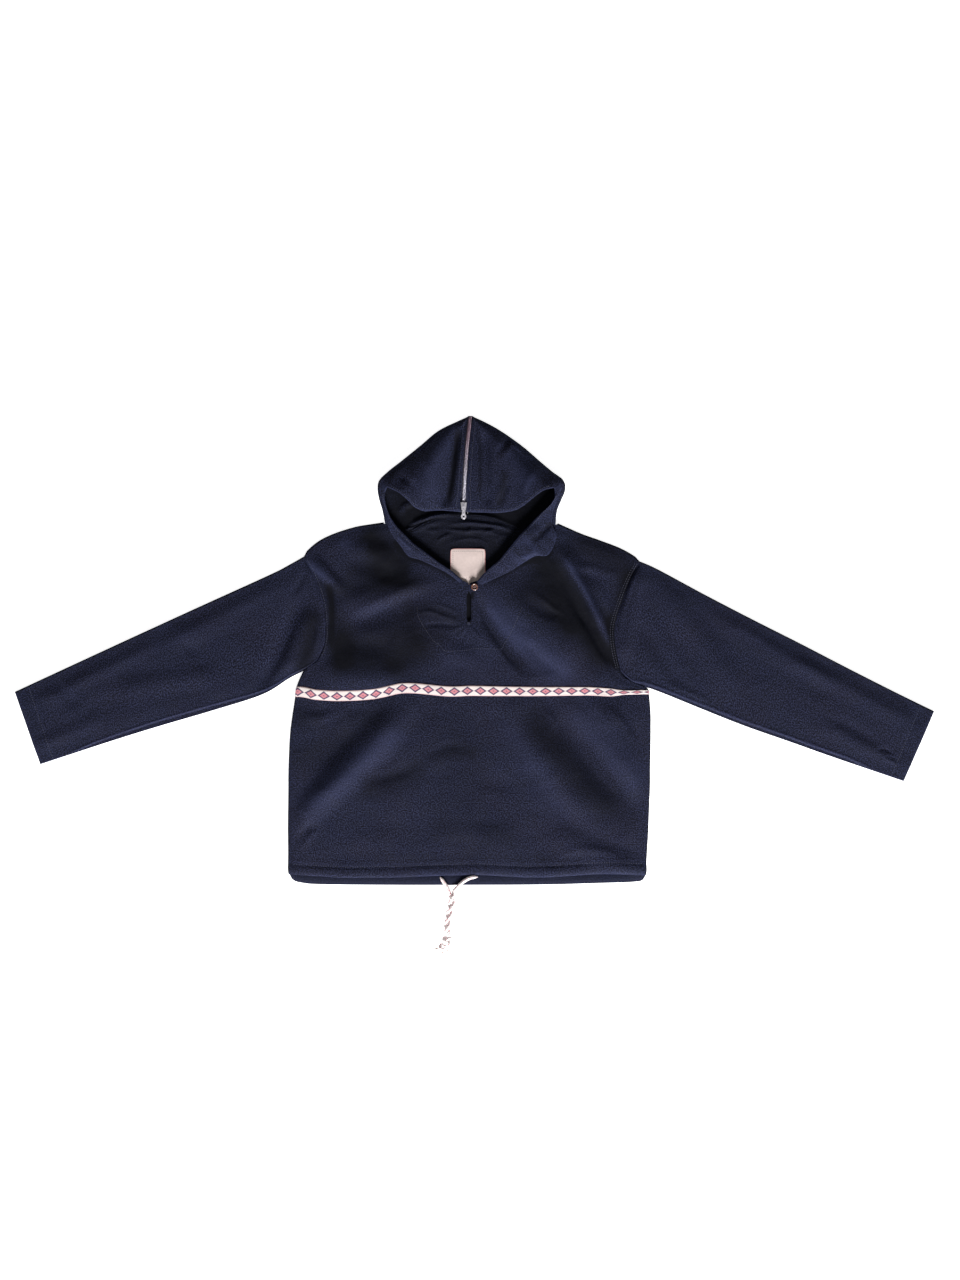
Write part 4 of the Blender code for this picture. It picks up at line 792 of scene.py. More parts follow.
@dataclass(frozen=True)
class PatchCloth(Finish):
    """The neck patch: close cream plain weave with a thin rose edge."""

    name: str = "patch_cloth"
    cream: tuple = (0.57, 0.472, 0.442)
    shade: tuple = (0.47, 0.375, 0.35)
    rose: tuple = (0.47, 0.22, 0.22)

    def paint(self, n: NodeSheet) -> None:
        """Its nodes; its cut runs from -1 to 1 both ways."""
        cut = n.parts(n.cut())
        weft = n.math("SINE", n.times(cut[0], 2 * math.pi * 44))
        warp = n.math("SINE", n.times(cut[1], 2 * math.pi * 44))
        cloud = n.noise(n.cut(), 7.0, 4.0)
        colour = n.blend(n.spread(cloud, 0.3, 0.75, 0.0, 0.6), self.cream, self.shade)
        rim = n.math("MAXIMUM", n.size_of(cut[0]), n.size_of(cut[1]))
        colour = n.blend(n.spread(rim, 0.955, 0.975), colour, self.rose)
        n.set(Base_Color=colour, Roughness=0.84, Specular_IOR_Level=0.25, Sheen_Weight=0.15)
        n.bump(n.plus(n.times(weft, warp), n.times(cloud, 2.0)), 0.0001, 0.8)


@dataclass(frozen=True)
class Nickel(Finish):
    """Plated metal with fine rub marks and dull smears, tinted rose high up the garment, towards the hood's apex."""

    name: str = "plated_nickel"
    bright: tuple = (0.86, 0.84, 0.88)
    dull: tuple = (0.26, 0.23, 0.29)
    rose: tuple = (0.26, 0.15, 0.19)

    def paint(self, n: NodeSheet) -> None:
        """Its nodes."""
        place = n.spot()
        smear = n.noise(place, 420.0, 4.0)
        rubs = n.noise(n.mapped(place, Scale=(9000, 900, 900)), 1.0, 2.0)
        height = n.parts(place)[1]
        metal = n.blend(n.spread(smear, 0.35, 0.75), self.bright, self.dull)
        n.set(Base_Color=n.blend(n.spread(height, 0.27, 0.35, 0.0, 0.85), metal, self.rose),
              Metallic=0.85, Roughness=n.spread(rubs, 0.3, 0.7, 0.26, 0.46))
        n.bump(rubs, 0.00003, 0.5)


@dataclass(frozen=True)
class Horn(Finish):
    """Polished brown horn with pale and dark streaks."""

    name: str = "streaked_horn"
    brown: tuple = (0.085, 0.037, 0.025)
    amber: tuple = (0.18, 0.088, 0.074)
    dark: tuple = (0.045, 0.016, 0.010)

    def paint(self, n: NodeSheet) -> None:
        """Its nodes."""
        place = n.spot()
        streak = n.noise(n.mapped(place, Rotation=(0, 0, 0.7), Scale=(150, 520, 200)), 1.0, 4.0)
        cloud = n.noise(place, 300.0, 3.0)
        colour = n.blend(n.spread(streak, 0.42, 0.68), self.brown, self.amber)
        colour = n.blend(n.spread(cloud, 0.55, 0.72), colour, self.dark)
        n.set(Base_Color=colour, Roughness=n.spread(streak, 0.3, 0.7, 0.2, 0.36), Coat_Weight=0.3,
              Coat_Roughness=0.15)
        n.bump(streak, 0.00004, 0.4)


@dataclass(frozen=True)
class FleckedCord(Finish):
    """Braided cream cotton cord with rose and grey flecks; its cut runs round it and along it."""

    name: str = "flecked_cord"
    cream: tuple = (0.80, 0.75, 0.73)
    rose: tuple = (0.52, 0.16, 0.20)
    grey: tuple = (0.42, 0.40, 0.42)
    # glow: painted light, the cord shines a little of its own colour to lift the shade between its strands
    glow: float = 0.28
    plaits: int = 5
    plait_length: float = 4.4

    def paint(self, n: NodeSheet) -> None:
        """Its nodes."""
        cut = n.parts(n.cut())
        around = n.times(cut[0], 2 * math.pi * self.plaits)
        along = n.times(cut[1], 2 * math.pi / (self.plait_length * MM))
        one = n.math("SINE", n.plus(around, along))
        two = n.math("SINE", n.math("SUBTRACT", around, along))
        braid = n.times(one, two)
        over = n.mapped(n.cut(), Scale=(5, 420, 1))
        fleck = n.noise(over, 1.0, 1.0)
        other = n.noise(n.mapped(n.cut(), Location=(7, 3, 0), Scale=(5, 380, 1)), 1.0, 1.0)
        # painted shade: grey in the braid's low parts, the grooves between its plaits
        colour = n.blend(n.spread(braid, 0.0, -0.9, 0.0, 0.22), self.cream, self.grey)
        colour = n.blend(n.times(n.spread(fleck, 0.50, 0.56), n.spread(one, -0.3, 0.2)), colour,
                         self.rose)
        colour = n.blend(n.times(n.spread(other, 0.62, 0.66), n.spread(two, -0.3, 0.2)), colour,
                         self.grey)
        n.set(Base_Color=colour, Roughness=0.88, Specular_IOR_Level=0.2, Sheen_Weight=0.2,
              Emission_Color=colour, Emission_Strength=self.glow)
        n.bump(n.plus(braid, n.noise(n.cut(), 900.0, 2.0)), 0.0005, 0.9)


@dataclass(frozen=True)
class Surface(Finish):
    """The pale surface under the garment."""

    name: str = "pale_surface"
    colour: tuple = (0.88, 0.88, 0.885)
    glow: float = 0.85

    def paint(self, n: NodeSheet) -> None:
        """Its nodes."""
        place = n.spot()
        cloud = n.noise(place, 3.0, 3.0)
        n.set(Base_Color=n.blend(n.times(cloud, 0.1), self.colour, (0.85, 0.85, 0.86)),
              Roughness=0.9, Specular_IOR_Level=0.2, Emission_Color=(1.0, 1.0, 1.0),
              Emission_Strength=self.glow)


def made(finish: Finish) -> Material:
    """A field that holds a finish's material."""
    return field(default_factory=finish.make)


@dataclass
class Wardrobe:
    """All the finishes, made once."""

    twill: Material = made(Twill())
    # a darker copy of the twill: painted shade for the back panel seen inside the neck and for the hood's inner side
    twill_painted_shade: Material = made(Twill(
        "twill_painted_shade", base=(0.0019, 0.0021, 0.0048), light=(0.0028, 0.0032, 0.0070),
        warm=(0.0030, 0.0027, 0.0051), rub_and_painted_light=(0.013, 0.0155, 0.036)))
    tape: Material = made(DiamondTape())
    patch: Material = made(PatchCloth())
    nickel: Material = made(Nickel())
    aged_nickel: Material = made(Nickel("aged_nickel", (0.42, 0.41, 0.47), (0.17, 0.15, 0.19), (0.17, 0.095, 0.125)))
    horn: Material = made(Horn())
    cord: Material = made(FleckedCord())
    thread: Material = made(Yarn("navy_thread", (0.023, 0.026, 0.054), (0.014, 0.016, 0.035), 2400.0))
    deep_thread: Material = made(Yarn("deep_navy_thread", (0.011, 0.012, 0.026), (0.006, 0.007, 0.015), 2400.0))
    dark_thread: Material = made(Yarn("slate_thread", (0.055, 0.045, 0.065), (0.03, 0.025, 0.04), 2400.0))
    zip_cloth: Material = made(Yarn("zip_tape_cloth", (0.012, 0.013, 0.028), (0.02, 0.021, 0.044), 1500.0))
    fray: Material = made(Yarn("frayed_cotton", (0.60, 0.53, 0.48), (0.30, 0.20, 0.19), 1100.0))


# ---------------------------------------------------------------- meshes
def grid_patch(bm: BMesh, columns: int, rows: int, place: Place) -> None:
    """Adds a grid of quads and puts its points in place.

    Args:
        bm: the mesh to add to.
        columns: quads across.
        rows: quads along.
        place: gives the patch at u and v, from 0 to 1.
    """
    cut_layer = bm.loops.layers.uv.get("cut") or bm.loops.layers.uv.new("cut")
    # per-point value: rubbed edges and painted light over 0, painted shade under 0
    wear_and_painted_light_layer = bm.verts.layers.float.get("wear_and_painted_light") or bm.verts.layers.float.new("wear_and_painted_light")
    made = bmesh.ops.create_grid(bm, x_segments=columns, y_segments=rows, size=1.0)["verts"]
    uv = np.array([v.co[:2] for v in made]) / 2.0 + 0.5
    patch = place(uv[:, 0], uv[:, 1])
    cut = {}
    for vert, point, flat, wear_and_painted_light in zip(made, patch.points * MM, patch.cut, patch.wear_and_painted_light):
        vert.co = Vector(point)
        vert[wear_and_painted_light_layer] = float(wear_and_painted_light)
        cut[vert] = flat
    for face in {face for vert in made for face in vert.link_faces}:
        for loop in face.loops:
            loop[cut_layer].uv = cut[loop.vert]


def close_mesh(bm: BMesh, name: str, face_up: bool = True, merge: float = 0.02) -> Mesh:
    """Merges doubles, turns the faces outwards and gives the mesh.

    Args:
        bm: the mesh, which is used up.
        name: its name.
        face_up: the highest face of an open surface looks up.
        merge: distance under which points are one, in millimetres.

    Returns:
        The finished mesh, smooth.
    """
    bmesh.ops.remove_doubles(bm, verts=bm.verts, dist=merge * MM)
    bmesh.ops.dissolve_degenerate(bm, edges=bm.edges, dist=0.005 * MM)
    bmesh.ops.recalc_face_normals(bm, faces=bm.faces)
    if face_up:
        top = max(bm.faces, key=lambda face: face.calc_center_median().z)
        if top.normal.z < 0:
            bmesh.ops.reverse_faces(bm, faces=bm.faces)
    mesh = bpy.data.meshes.new(name)
    bm.to_mesh(mesh)
    bm.free()
    mesh.shade_smooth()
    return mesh


def put(name: str, data: bpy.types.ID) -> Piece:
    """A new object in the scene."""
    obj = bpy.data.objects.new(name, data)
    bpy.context.scene.collection.objects.link(obj)
    return obj


def as_built(obj: Piece) -> Mesh:
    """A mesh of an object with its modifiers."""
    bpy.context.view_layer.update()
    return bpy.data.meshes.new_from_object(obj.evaluated_get(bpy.context.evaluated_depsgraph_get()))


def add_piece(name: str, mesh: Mesh, material: Material, slot: str,
              replaces: Sequence[str] = (), body: str = "garment") -> Piece:
    """Puts a piece in the scene.

    Args:
        name: the piece's name.
        mesh: its mesh, in place.
        material: its finish.
        slot: the record's material slot; not used.
        replaces: the solids that it stands for.
        body: the body that it rides on.

    Returns:
        The piece.
    """
    obj = put(name, mesh)
    mesh.materials.append(material)
    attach(obj, body)
    if replaces:
        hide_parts(*replaces)
    LOG.info("piece %s: %d faces", name, len(mesh.polygons))
    return obj


def add_wall(obj: Piece, thickness: float, offset: float = -1.0, soften: float = 0.25) -> None:
    """Gives a surface its thickness and softens the wall's own edges."""
    wall = obj.modifiers.new("wall", "SOLIDIFY")
    wall.thickness, wall.offset = thickness * MM, offset
    if soften:
        edge = obj.modifiers.new("edge", "BEVEL")
        edge.limit_method, edge.angle_limit = "ANGLE", math.radians(66)
        edge.width, edge.segments = soften * MM, 2


def add_cloth(name: str, grids: Sequence, material: Material, slot: str, node: str,
              wall: Sequence[float] = (SHELL,), merge: float = 0.02) -> Piece:
    """Adds a piece of cloth.

    Args:
        name: the piece's name.
        grids: columns, rows and place of each of its grids.
        material: its finish.
        slot: the record's material slot.
        node: the solid that it stands for.
        wall: its thickness, and where they differ its offset and softened edge.
        merge: distance under which points are one, in millimetres.

    Returns:
        The piece.
    """
    bm = bmesh.new()
    for columns, rows, place in grids:
        grid_patch(bm, columns, rows, place)
    obj = add_piece(name, close_mesh(bm, name, merge=merge), material, slot, [node])
    add_wall(obj, *wall)
    return obj


class Ground:
    """The top of some finished pieces, to lay small things on."""

    def __init__(self, *pieces: Piece) -> None:
        """Reads the pieces as they are with their walls."""
        bpy.context.view_layer.update()
        graph = bpy.context.evaluated_depsgraph_get()
        points, faces = [], []
        for piece in pieces:
            mesh = piece.evaluated_get(graph).to_mesh()
            start = len(points)
            points += [piece.matrix_world @ v.co for v in mesh.vertices]
            faces += [[start + i for i in p.vertices] for p in mesh.polygons]
            piece.evaluated_get(graph).to_mesh_clear()
        self.tree = BVHTree.FromPolygons(points, faces)

    def height(self, x: float, y: float, start: float = 60.0) -> float | None:
        """Height of the top at a place, looking down from start, in millimetres."""
        hit = self.tree.ray_cast(Vector((x * MM, y * MM, start * MM)), Vector((0, 0, -1)))[0]
        return None if hit is None else hit.z / MM

    def heights(self, x: Array, y: Array) -> Array:
        """Heights at many places; the flat loft where nothing is below."""
        found = [self.height(a, b) for a, b in zip(x, y)]
        return np.array([LOFT if z is None else z for z in found])


def tube_patch(path: Array, radius: Array | float, sides: int, turn: float = 0.0) -> tuple[int, int, Place]:
    """A tube round a path, as a grid.

    Args:
        path: points in millimetres.
        radius: one radius, or one for each point.
        sides: faces round it.
        turn: how far its cut is turned.

    Returns:
        Columns, rows and the place function.
    """
    count = len(path)
    size = np.broadcast_to(radius, (count,))
    tangent = np.gradient(path, axis=0)
    tangent /= row_lengths(tangent)[:, None]
    normals = [np.cross(tangent[0], (0.0, 0.0, 1.0))]
    if np.linalg.norm(normals[0]) < 0.1:
        normals[0] = np.cross(tangent[0], (0.0, 1.0, 0.0))
    for t in tangent:
        carried = normals[-1] - t * np.dot(normals[-1], t)
        normals.append(carried / np.linalg.norm(carried))
    normal = np.array(normals[1:])
    other = np.cross(tangent, normal)
    run = run_along(path)

    def place(u: Array, v: Array) -> Patch:
        """Point of the tube: u round it, v along it."""
        i = np.rint(v * (count - 1)).astype(int)
        angle = 2 * np.pi * np.rint(u * sides) / sides
        offset = normal[i] * np.cos(angle)[:, None] + other[i] * np.sin(angle)[:, None]
        cut = join(u + turn, run[i] * MM)
        return Patch(path[i] + offset * size[i][:, None], cut, np.zeros(len(u)))

    return sides, count - 1, place


def round_edges(bm: BMesh, edges: Sequence, width: float, steps: int) -> None:
    """Rounds some edges."""
    bmesh.ops.bevel(bm, geom=edges, offset=width * MM, segments=steps, profile=0.5, affect="EDGES",
                    material=-1, clamp_overlap=True)


def fill_ends(bm: BMesh) -> None:
    """Closes the open ends of tubes."""
    bmesh.ops.remove_doubles(bm, verts=bm.verts, dist=0.01 * MM)
    bmesh.ops.holes_fill(bm, edges=[e for e in bm.edges if e.is_boundary], sides=0)


# ---------------------------------------------------------------- camera and light
@dataclass
class Studio:
    """The camera straight above, soft light from the hem side, and the pale surface."""

    aim: tuple = (0.0088, 0.0168)
    view_length: float = 2.048
    lens: float = 60.0
    key_from: tuple = (0.9, -5.0, 2.25)
    key_size: float = 2.1
    key_power: float = 1080.0
    fill_from: tuple = (-0.6, 0.8, 4.6)
    fill_size: float = 3.6
    fill_power: float = 22.0
    world: float = 0.09
    floor_reach: float = 9.0
    floor_level: float = -0.0006

    def camera(self) -> None:
        """Puts the camera over the garment."""
        data = bpy.data.cameras.new("camera")
        data.lens, data.sensor_width = self.lens, 36.0
        data.clip_end = 50.0
        obj = put("camera", data)
        obj.location = (*self.aim, self.view_length * self.lens / data.sensor_width)
        bpy.context.scene.camera = obj

    def area(self, name: str, place: tuple, size: float, power: float) -> None:
        """A square soft light that looks at the garment."""
        data = bpy.data.lights.new(name, "AREA")
        data.shape, data.size, data.energy = "DISK", size, power
        obj = put(name, data)
        obj.location = place
        obj.rotation_euler = (-Vector(place)).to_track_quat("-Z", "Y").to_euler()

    def light(self) -> None:
        """Sets the lights, the world and the surface."""
        self.area("key_light", self.key_from, self.key_size, self.key_power)
        self.area("fill_light", self.fill_from, self.fill_size, self.fill_power)
        world = bpy.data.worlds.new("soft_room")
        world.use_nodes = True
        colour, strength = world.node_tree.nodes["Background"].inputs[:2]
        colour.default_value, strength.default_value = (1.0, 1.0, 1.0, 1.0), self.world
        bpy.context.scene.world = world
        bm = bmesh.new()
        bmesh.ops.create_grid(bm, x_segments=1, y_segments=1, size=self.floor_reach)
        bmesh.ops.translate(bm, vec=(0, 0, self.floor_level), verts=bm.verts)
        mesh = bpy.data.meshes.new("surface")
        bm.to_mesh(mesh)
        bm.free()
        mesh.materials.append(Surface().make())
        put("surface", mesh)
        bpy.context.scene.view_settings.view_transform = "Standard"


# ---------------------------------------------------------------- drawcord
@dataclass
class Drawcord:
    """Two strands from the hem, twisted together, knotted, with three frayed ends."""

    steps: int = 96
    sides: int = 16
    shown_radius: float = 2.7
    slim_start: float = 3.6
    fray_hairs: int = 16
    knot_steps: int = 90

    def strand(self, lead_in: Sequence, phase: float) -> Array:
        """Points of a strand: its own run, then twisted round the pair's line."""
        pair = Route(PAIR_LINE)
        share = np.linspace(0, 1, 31)
        angle = math.radians(phase) + 2 * np.pi * TWIST_TURNS * share
        flat = pair.at(share)
        height = TWIST_RADIUS + CORD_RADIUS + 0.1
        twisted = join(flat[:, 0] + TWIST_RADIUS * np.cos(angle), flat[:, 1],
                       height + TWIST_RADIUS * np.sin(angle))
        lead = Route(list(lead_in) + [tuple(twisted[0])])
        count = max(4, round(lead.length / (2 * CORD_RADIUS)))
        return np.concatenate([lead.at(np.arange(count) / count), twisted])

    def build_strand(self, name: str, points: Array, node: str, finish: Wardrobe) -> Piece:
        """One strand as a braided tube."""
        path = Route(points, 6).at(np.linspace(0, 1, self.steps))
        bm = bmesh.new()
        from_start = row_lengths(path - path[0])
        slimmed = 1.0 - 0.72 * ridge(from_start, self.slim_start)
        grid_patch(bm, *tube_patch(path, self.shown_radius * slimmed, self.sides))
        fill_ends(bm)
        return add_piece(name, close_mesh(bm, name, False), finish.cord, "cord_cotton", [node])

    def build_knot(self, finish: Wardrobe) -> Piece:
        """The knot: a loop drawn round itself, and a second turn below it."""
        bm = bmesh.new()
        ring = np.append(np.linspace(0, 2 * np.pi, self.knot_steps, endpoint=False), 0.0)
        first = join(-43.0 + 2.35 * (np.sin(ring) + 1.75 * np.sin(2 * ring)),
                     -464.2 + 2.7 * (np.cos(ring) - 1.75 * np.cos(2 * ring)),
                     5.7 - 2.7 * np.sin(3 * ring))
        grid_patch(bm, *tube_patch(first, 2.75, self.sides))
        second = join(-50.4 + 4.4 * np.cos(ring) + 1.0 * np.sin(2 * ring),
                      -474.3 + 4.0 * np.sin(ring), 4.9 + 1.5 * np.sin(2 * ring + 0.6))
        grid_patch(bm, *tube_patch(second, 2.6, self.sides, 0.3))
        core = bmesh.ops.create_uvsphere(bm, u_segments=20, v_segments=12, radius=1.0)["verts"]
        bmesh.ops.scale(bm, vec=Vector((5.2, 5.6, 4.4)) * MM, verts=core)
        bmesh.ops.translate(bm, vec=Vector((-44.6, -466.4, 5.4)) * MM, verts=core)
        return add_piece("cord_knot", close_mesh(bm, "cord_knot", False), finish.cord, "cord_cotton",
                         ["drawcord_knot"])

    def build_tail(self, number: int, points: Sequence, finish: Wardrobe) -> Piece:
        """One frayed end: a short stub whose yarns spread."""
        numbers = np.random.default_rng(50 + number)
        bm = bmesh.new()
        line = Route(points)
        run = line.at(np.linspace(0, 0.55, 6))
        grid_patch(bm, *tube_patch(run, np.linspace(2.1, 1.5, 6), 12))
        ahead = run[-1] - run[-2]
        ahead /= np.linalg.norm(ahead)
        side = np.cross(ahead, (0, 0, 1.0))
        for _ in range(self.fray_hairs):
            spread, lift = numbers.uniform(-1, 1), numbers.uniform(-0.7, 0.8)
            start = run[-2] + side * spread * 1.1 + np.array((0, 0, lift * 0.9))
            reach = numbers.uniform(2.6, 4.9)
            bend = numbers.uniform(-0.8, 0.8)
            share = np.linspace(0, 1, 6)[:, None]
            hair = start + ahead * reach * share + side * (spread * 1.9 * share + bend * share**2)
            hair[:, 2] = np.maximum(hair[:, 2] - 0.9 * share[:, 0] * lift, 0.5)
            grid_patch(bm, *tube_patch(hair, np.linspace(0.42, 0.2, 6), 5))
        fill_ends(bm)
        name = f"cord_end_{number}"
        return add_piece(name, close_mesh(bm, name, False), finish.fray, "cord_cotton",
                         [f"drawcord_tail_{number}"])

    def build(self, finish: Wardrobe) -> None:
        """All of the cord: the knot, the frayed ends and both strands."""
        left, right = self.strand(LEFT_STRAND, 180.0), self.strand(RIGHT_STRAND, 0.0)
        knot = self.build_knot(finish)
        tails = [self.build_tail(k + 1, points, finish) for k, points in enumerate(TAILS)]
        for name, points, node, pieces in (("cord_left", left, "drawcord_left", [knot, *tails]),
                                           ("cord_right", right, "drawcord_right", [])):
            obj = self.build_strand(name, points, node, finish)
            route = Route(points, 6)
            [float(c) * MM for c in points[0]]
            [[float(c) * MM for c in p] for p in route.dense]
            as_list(pieces)


# ---------------------------------------------------------------- body
class Body:
    """The body's outline, shared by the front, the back, the tape and the sleeves."""

    last = len(BODY_ROWS) - 1
    sleeve_rows = (8.6, 16.4)

    @classmethod
    def rows(cls, s: Array) -> Array:
        """The table at row numbers, straight between rows and eased a little at each."""
        s = np.atleast_1d(np.asarray(s, float))
        ease = np.clip(np.minimum(s, cls.last - s) / 0.4, 0.0, 1.0)
        number = np.arange(cls.last + 1)
        total = np.zeros((len(s), 8))
        for shift in (-0.3, -0.1, 0.1, 0.3):
            at = s + shift * ease
            total += np.stack([np.interp(at, number, column) for column in BODY_ROWS.T], axis=1)
        return total / 4.0

    @classmethod
    def beside_sleeve(cls, s: Array) -> Array:
        """1 where a sleeve is sewn on, 0 elsewhere."""
        first, last = cls.sleeve_rows
        return smoothstep((s - first) / 0.5) * smoothstep((last - s) / 0.5)

    @classmethod
    def edge(cls, side: Side, s: Array) -> Array:
        """Points of the outline."""
        row = cls.rows(s)
        return row[:, 0:2] if side is Side.LEFT else row[:, 5:7]

    @classmethod
    def outward(cls, side: Side, s: Array) -> Array:
        """Level direction that looks away from the body at its outline."""
        s = np.atleast_1d(np.asarray(s, float))
        step = cls.edge(side, np.minimum(s + 0.06, cls.last)) - cls.edge(side, np.maximum(s - 0.06, 0))
        step /= row_lengths(step)[:, None]
        return join(step[:, 1], -step[:, 0]) * side.value


@dataclass
class FrontPanel:
    """The front: two halves joined down the centre, open at the V and the slit."""

    slit: tuple = (46.0, 93.0, 6.4)
    slit_taper: float = 3.0
    hem_height: float = 18.0
    hem_puff: float = 1.4
    lowest: float = 2.6
    columns: int = 84
    row_step: float = 3.0
    roll_steps: int = 4
    flat_size: tuple = (0.60, 0.585)
    flat_area: float = 0.30

    def __post_init__(self) -> None:
        """Sets the rows and columns, closer together at the edges and the hem."""
        rows: list[float] = []
        for i in range(Body.last):
            drop = abs(BODY_ROWS[i + 1][4] - BODY_ROWS[i][4])
            drop = max(drop, 0.7 * abs(BODY_ROWS[i + 1][1] - BODY_ROWS[i][1]))
            step = {0: 1.6, 1: 2.6}.get(i, self.row_step)
            count = max(4, math.ceil(drop / step))
            rows += [i + k / count for k in range(count)]
        self.rows = np.array(rows + [float(Body.last)])
        across = spaced(0.0, 1.0, 1.0 / self.columns, 0.45 / self.columns, 0.06)
        self.across = np.array([-1 + k / self.roll_steps for k in range(self.roll_steps)] + across)

    def place(self, side: Side, c: Array, s: Array) -> Array:
        """Points of the panel's top.

        Args:
            side: the half.
            c: from the outer edge (0) to the centre (1); under 0 the cloth rolls under its edge.
            s: row numbers.

        Returns:
            The points in millimetres.
        """
        row, outer, out = Body.rows(s), Body.edge(side, s), Body.outward(side, s)
        u = np.clip(c, 0.0, 1.0)
        low, high, width = self.slit
        middle_y = row[:, 4]
        middle = row[:, 2] if side is Side.LEFT else row[:, 3]
        end = np.minimum(middle_y - low, high - middle_y)
        half = width / 2.0 * np.clip(end / self.slit_taper, 0.0, 1.0)
        middle = np.where(middle_y <= high, -9.0 + side.value * half, middle)
        x, y = mix(outer[:, 0], middle, u), mix(outer[:, 1], middle_y, u)
        inside = smoothstep(np.hypot(x - outer[:, 0], y - outer[:, 1]) / EDGE_RAMP)
        near_tape = ridge(s - sum(TAPE_ROWS) / 2.0, 1.2)
        near_hem = np.clip(1.0 - s / 2.0, 0.0, 1.0)
        tape, hem = wander(x, TAPE_WANDER), wander(x, HEM_WANDER)
        y = y + inside * (near_tape * tape + near_hem * hem)
        z = mix(row[:, 7], LOFT, inside) + mix(EDGE_FOLD, 1.0, inside) * fold_height(FRONT_FOLDS, x, y)
        above_hem = y - (BODY_ROWS[0][4] + hem)
        z += self.hem_puff * np.sin(np.pi * np.clip(above_hem / self.hem_height, 0, 1))
        away = smoothstep(np.abs(s - sum(TAPE_ROWS) / 2.0) / 1.1)
        fine = crease_height(FRONT_CREASES, x, y) * away + pucker_height(FRONT_PUCKERS, x, y)
        fine += crumple(x, y, 1)
        fine += 0.45 * ridge(above_hem - 22.0, 3.0) - 0.5 * ridge(above_hem - 18.0, 1.5)
        z = np.maximum(z + mix(0.25, 1.0, inside) * fine, self.lowest)
        z -= 1.2 * fading(np.clip(above_hem, 0, None), 1.2)
        seam = Body.beside_sleeve(s)
        from_edge = np.hypot(x - outer[:, 0], y - outer[:, 1])
        z -= seam * 1.3 * ridge(from_edge, 2.0)
        z -= (1 - seam) * 0.9 * ridge(from_edge, 1.6)
        slit_edge = np.clip(end / 3.0, 0, 1) * (1 - u) * np.abs(middle - outer[:, 0])
        z -= 0.5 * np.where((middle_y > low) & (middle_y < high), ridge(slit_edge, 1.2), 0.0)
        turn = np.clip(-c, 0.0, 1.0)
        angle = turn * math.radians(118)
        radius = mix((z - 0.9) / 1.9, 0.35, seam)
        shift = radius * np.sin(angle) * (1 - 0.75 * seam)
        x, y = x + out[:, 0] * shift, y + out[:, 1] * shift
        z = z - mix(radius * (1 - np.cos(angle)), 2.4 * turn, seam)
        return join(x, y, z)

    def wear_and_painted_light(self, points: Array) -> Array:
        """How much paler the hem's fold and stitched line are (rubbed edge and painted light), plus the painted shade
        (under 0) and painted highlight from the front's shading table.
        """
        x, y = points[:, 0], points[:, 1]
        above_hem = y - (BODY_ROWS[0][4] + wander(x, HEM_WANDER))
        wear_and_painted_light = 0.55 * fading(np.abs(above_hem), 1.8) + 0.16 * ridge(above_hem - 20, 2.5)
        return np.clip(wear_and_painted_light, 0, 1) + np.clip(crease_height(FRONT_PAINTED_SHADING, x, y, 0.18) * 1.15, -0.92, 0.6)

    def build(self, finish: Wardrobe) -> Piece:
        """The panel."""
        columns, rows = len(self.across) - 1, len(self.rows) - 1

        def place(side: Side, u: Array, v: Array) -> Patch:
            """One half of the panel."""
            across = self.across[np.rint(u * columns).astype(int)]
            points = self.place(side, across, self.rows[np.rint(v * rows).astype(int)])
            # the edge rolled under the panel takes the darkest colour: painted shade
            return Patch(points, points[:, :2] * MM, np.where(across < 0, -1.0, self.wear_and_painted_light(points)))

        obj = add_cloth("front_cloth", [(columns, rows, partial(place, side)) for side in Side],
                        finish.twill, "navy_twill", "front_panel")
        return obj


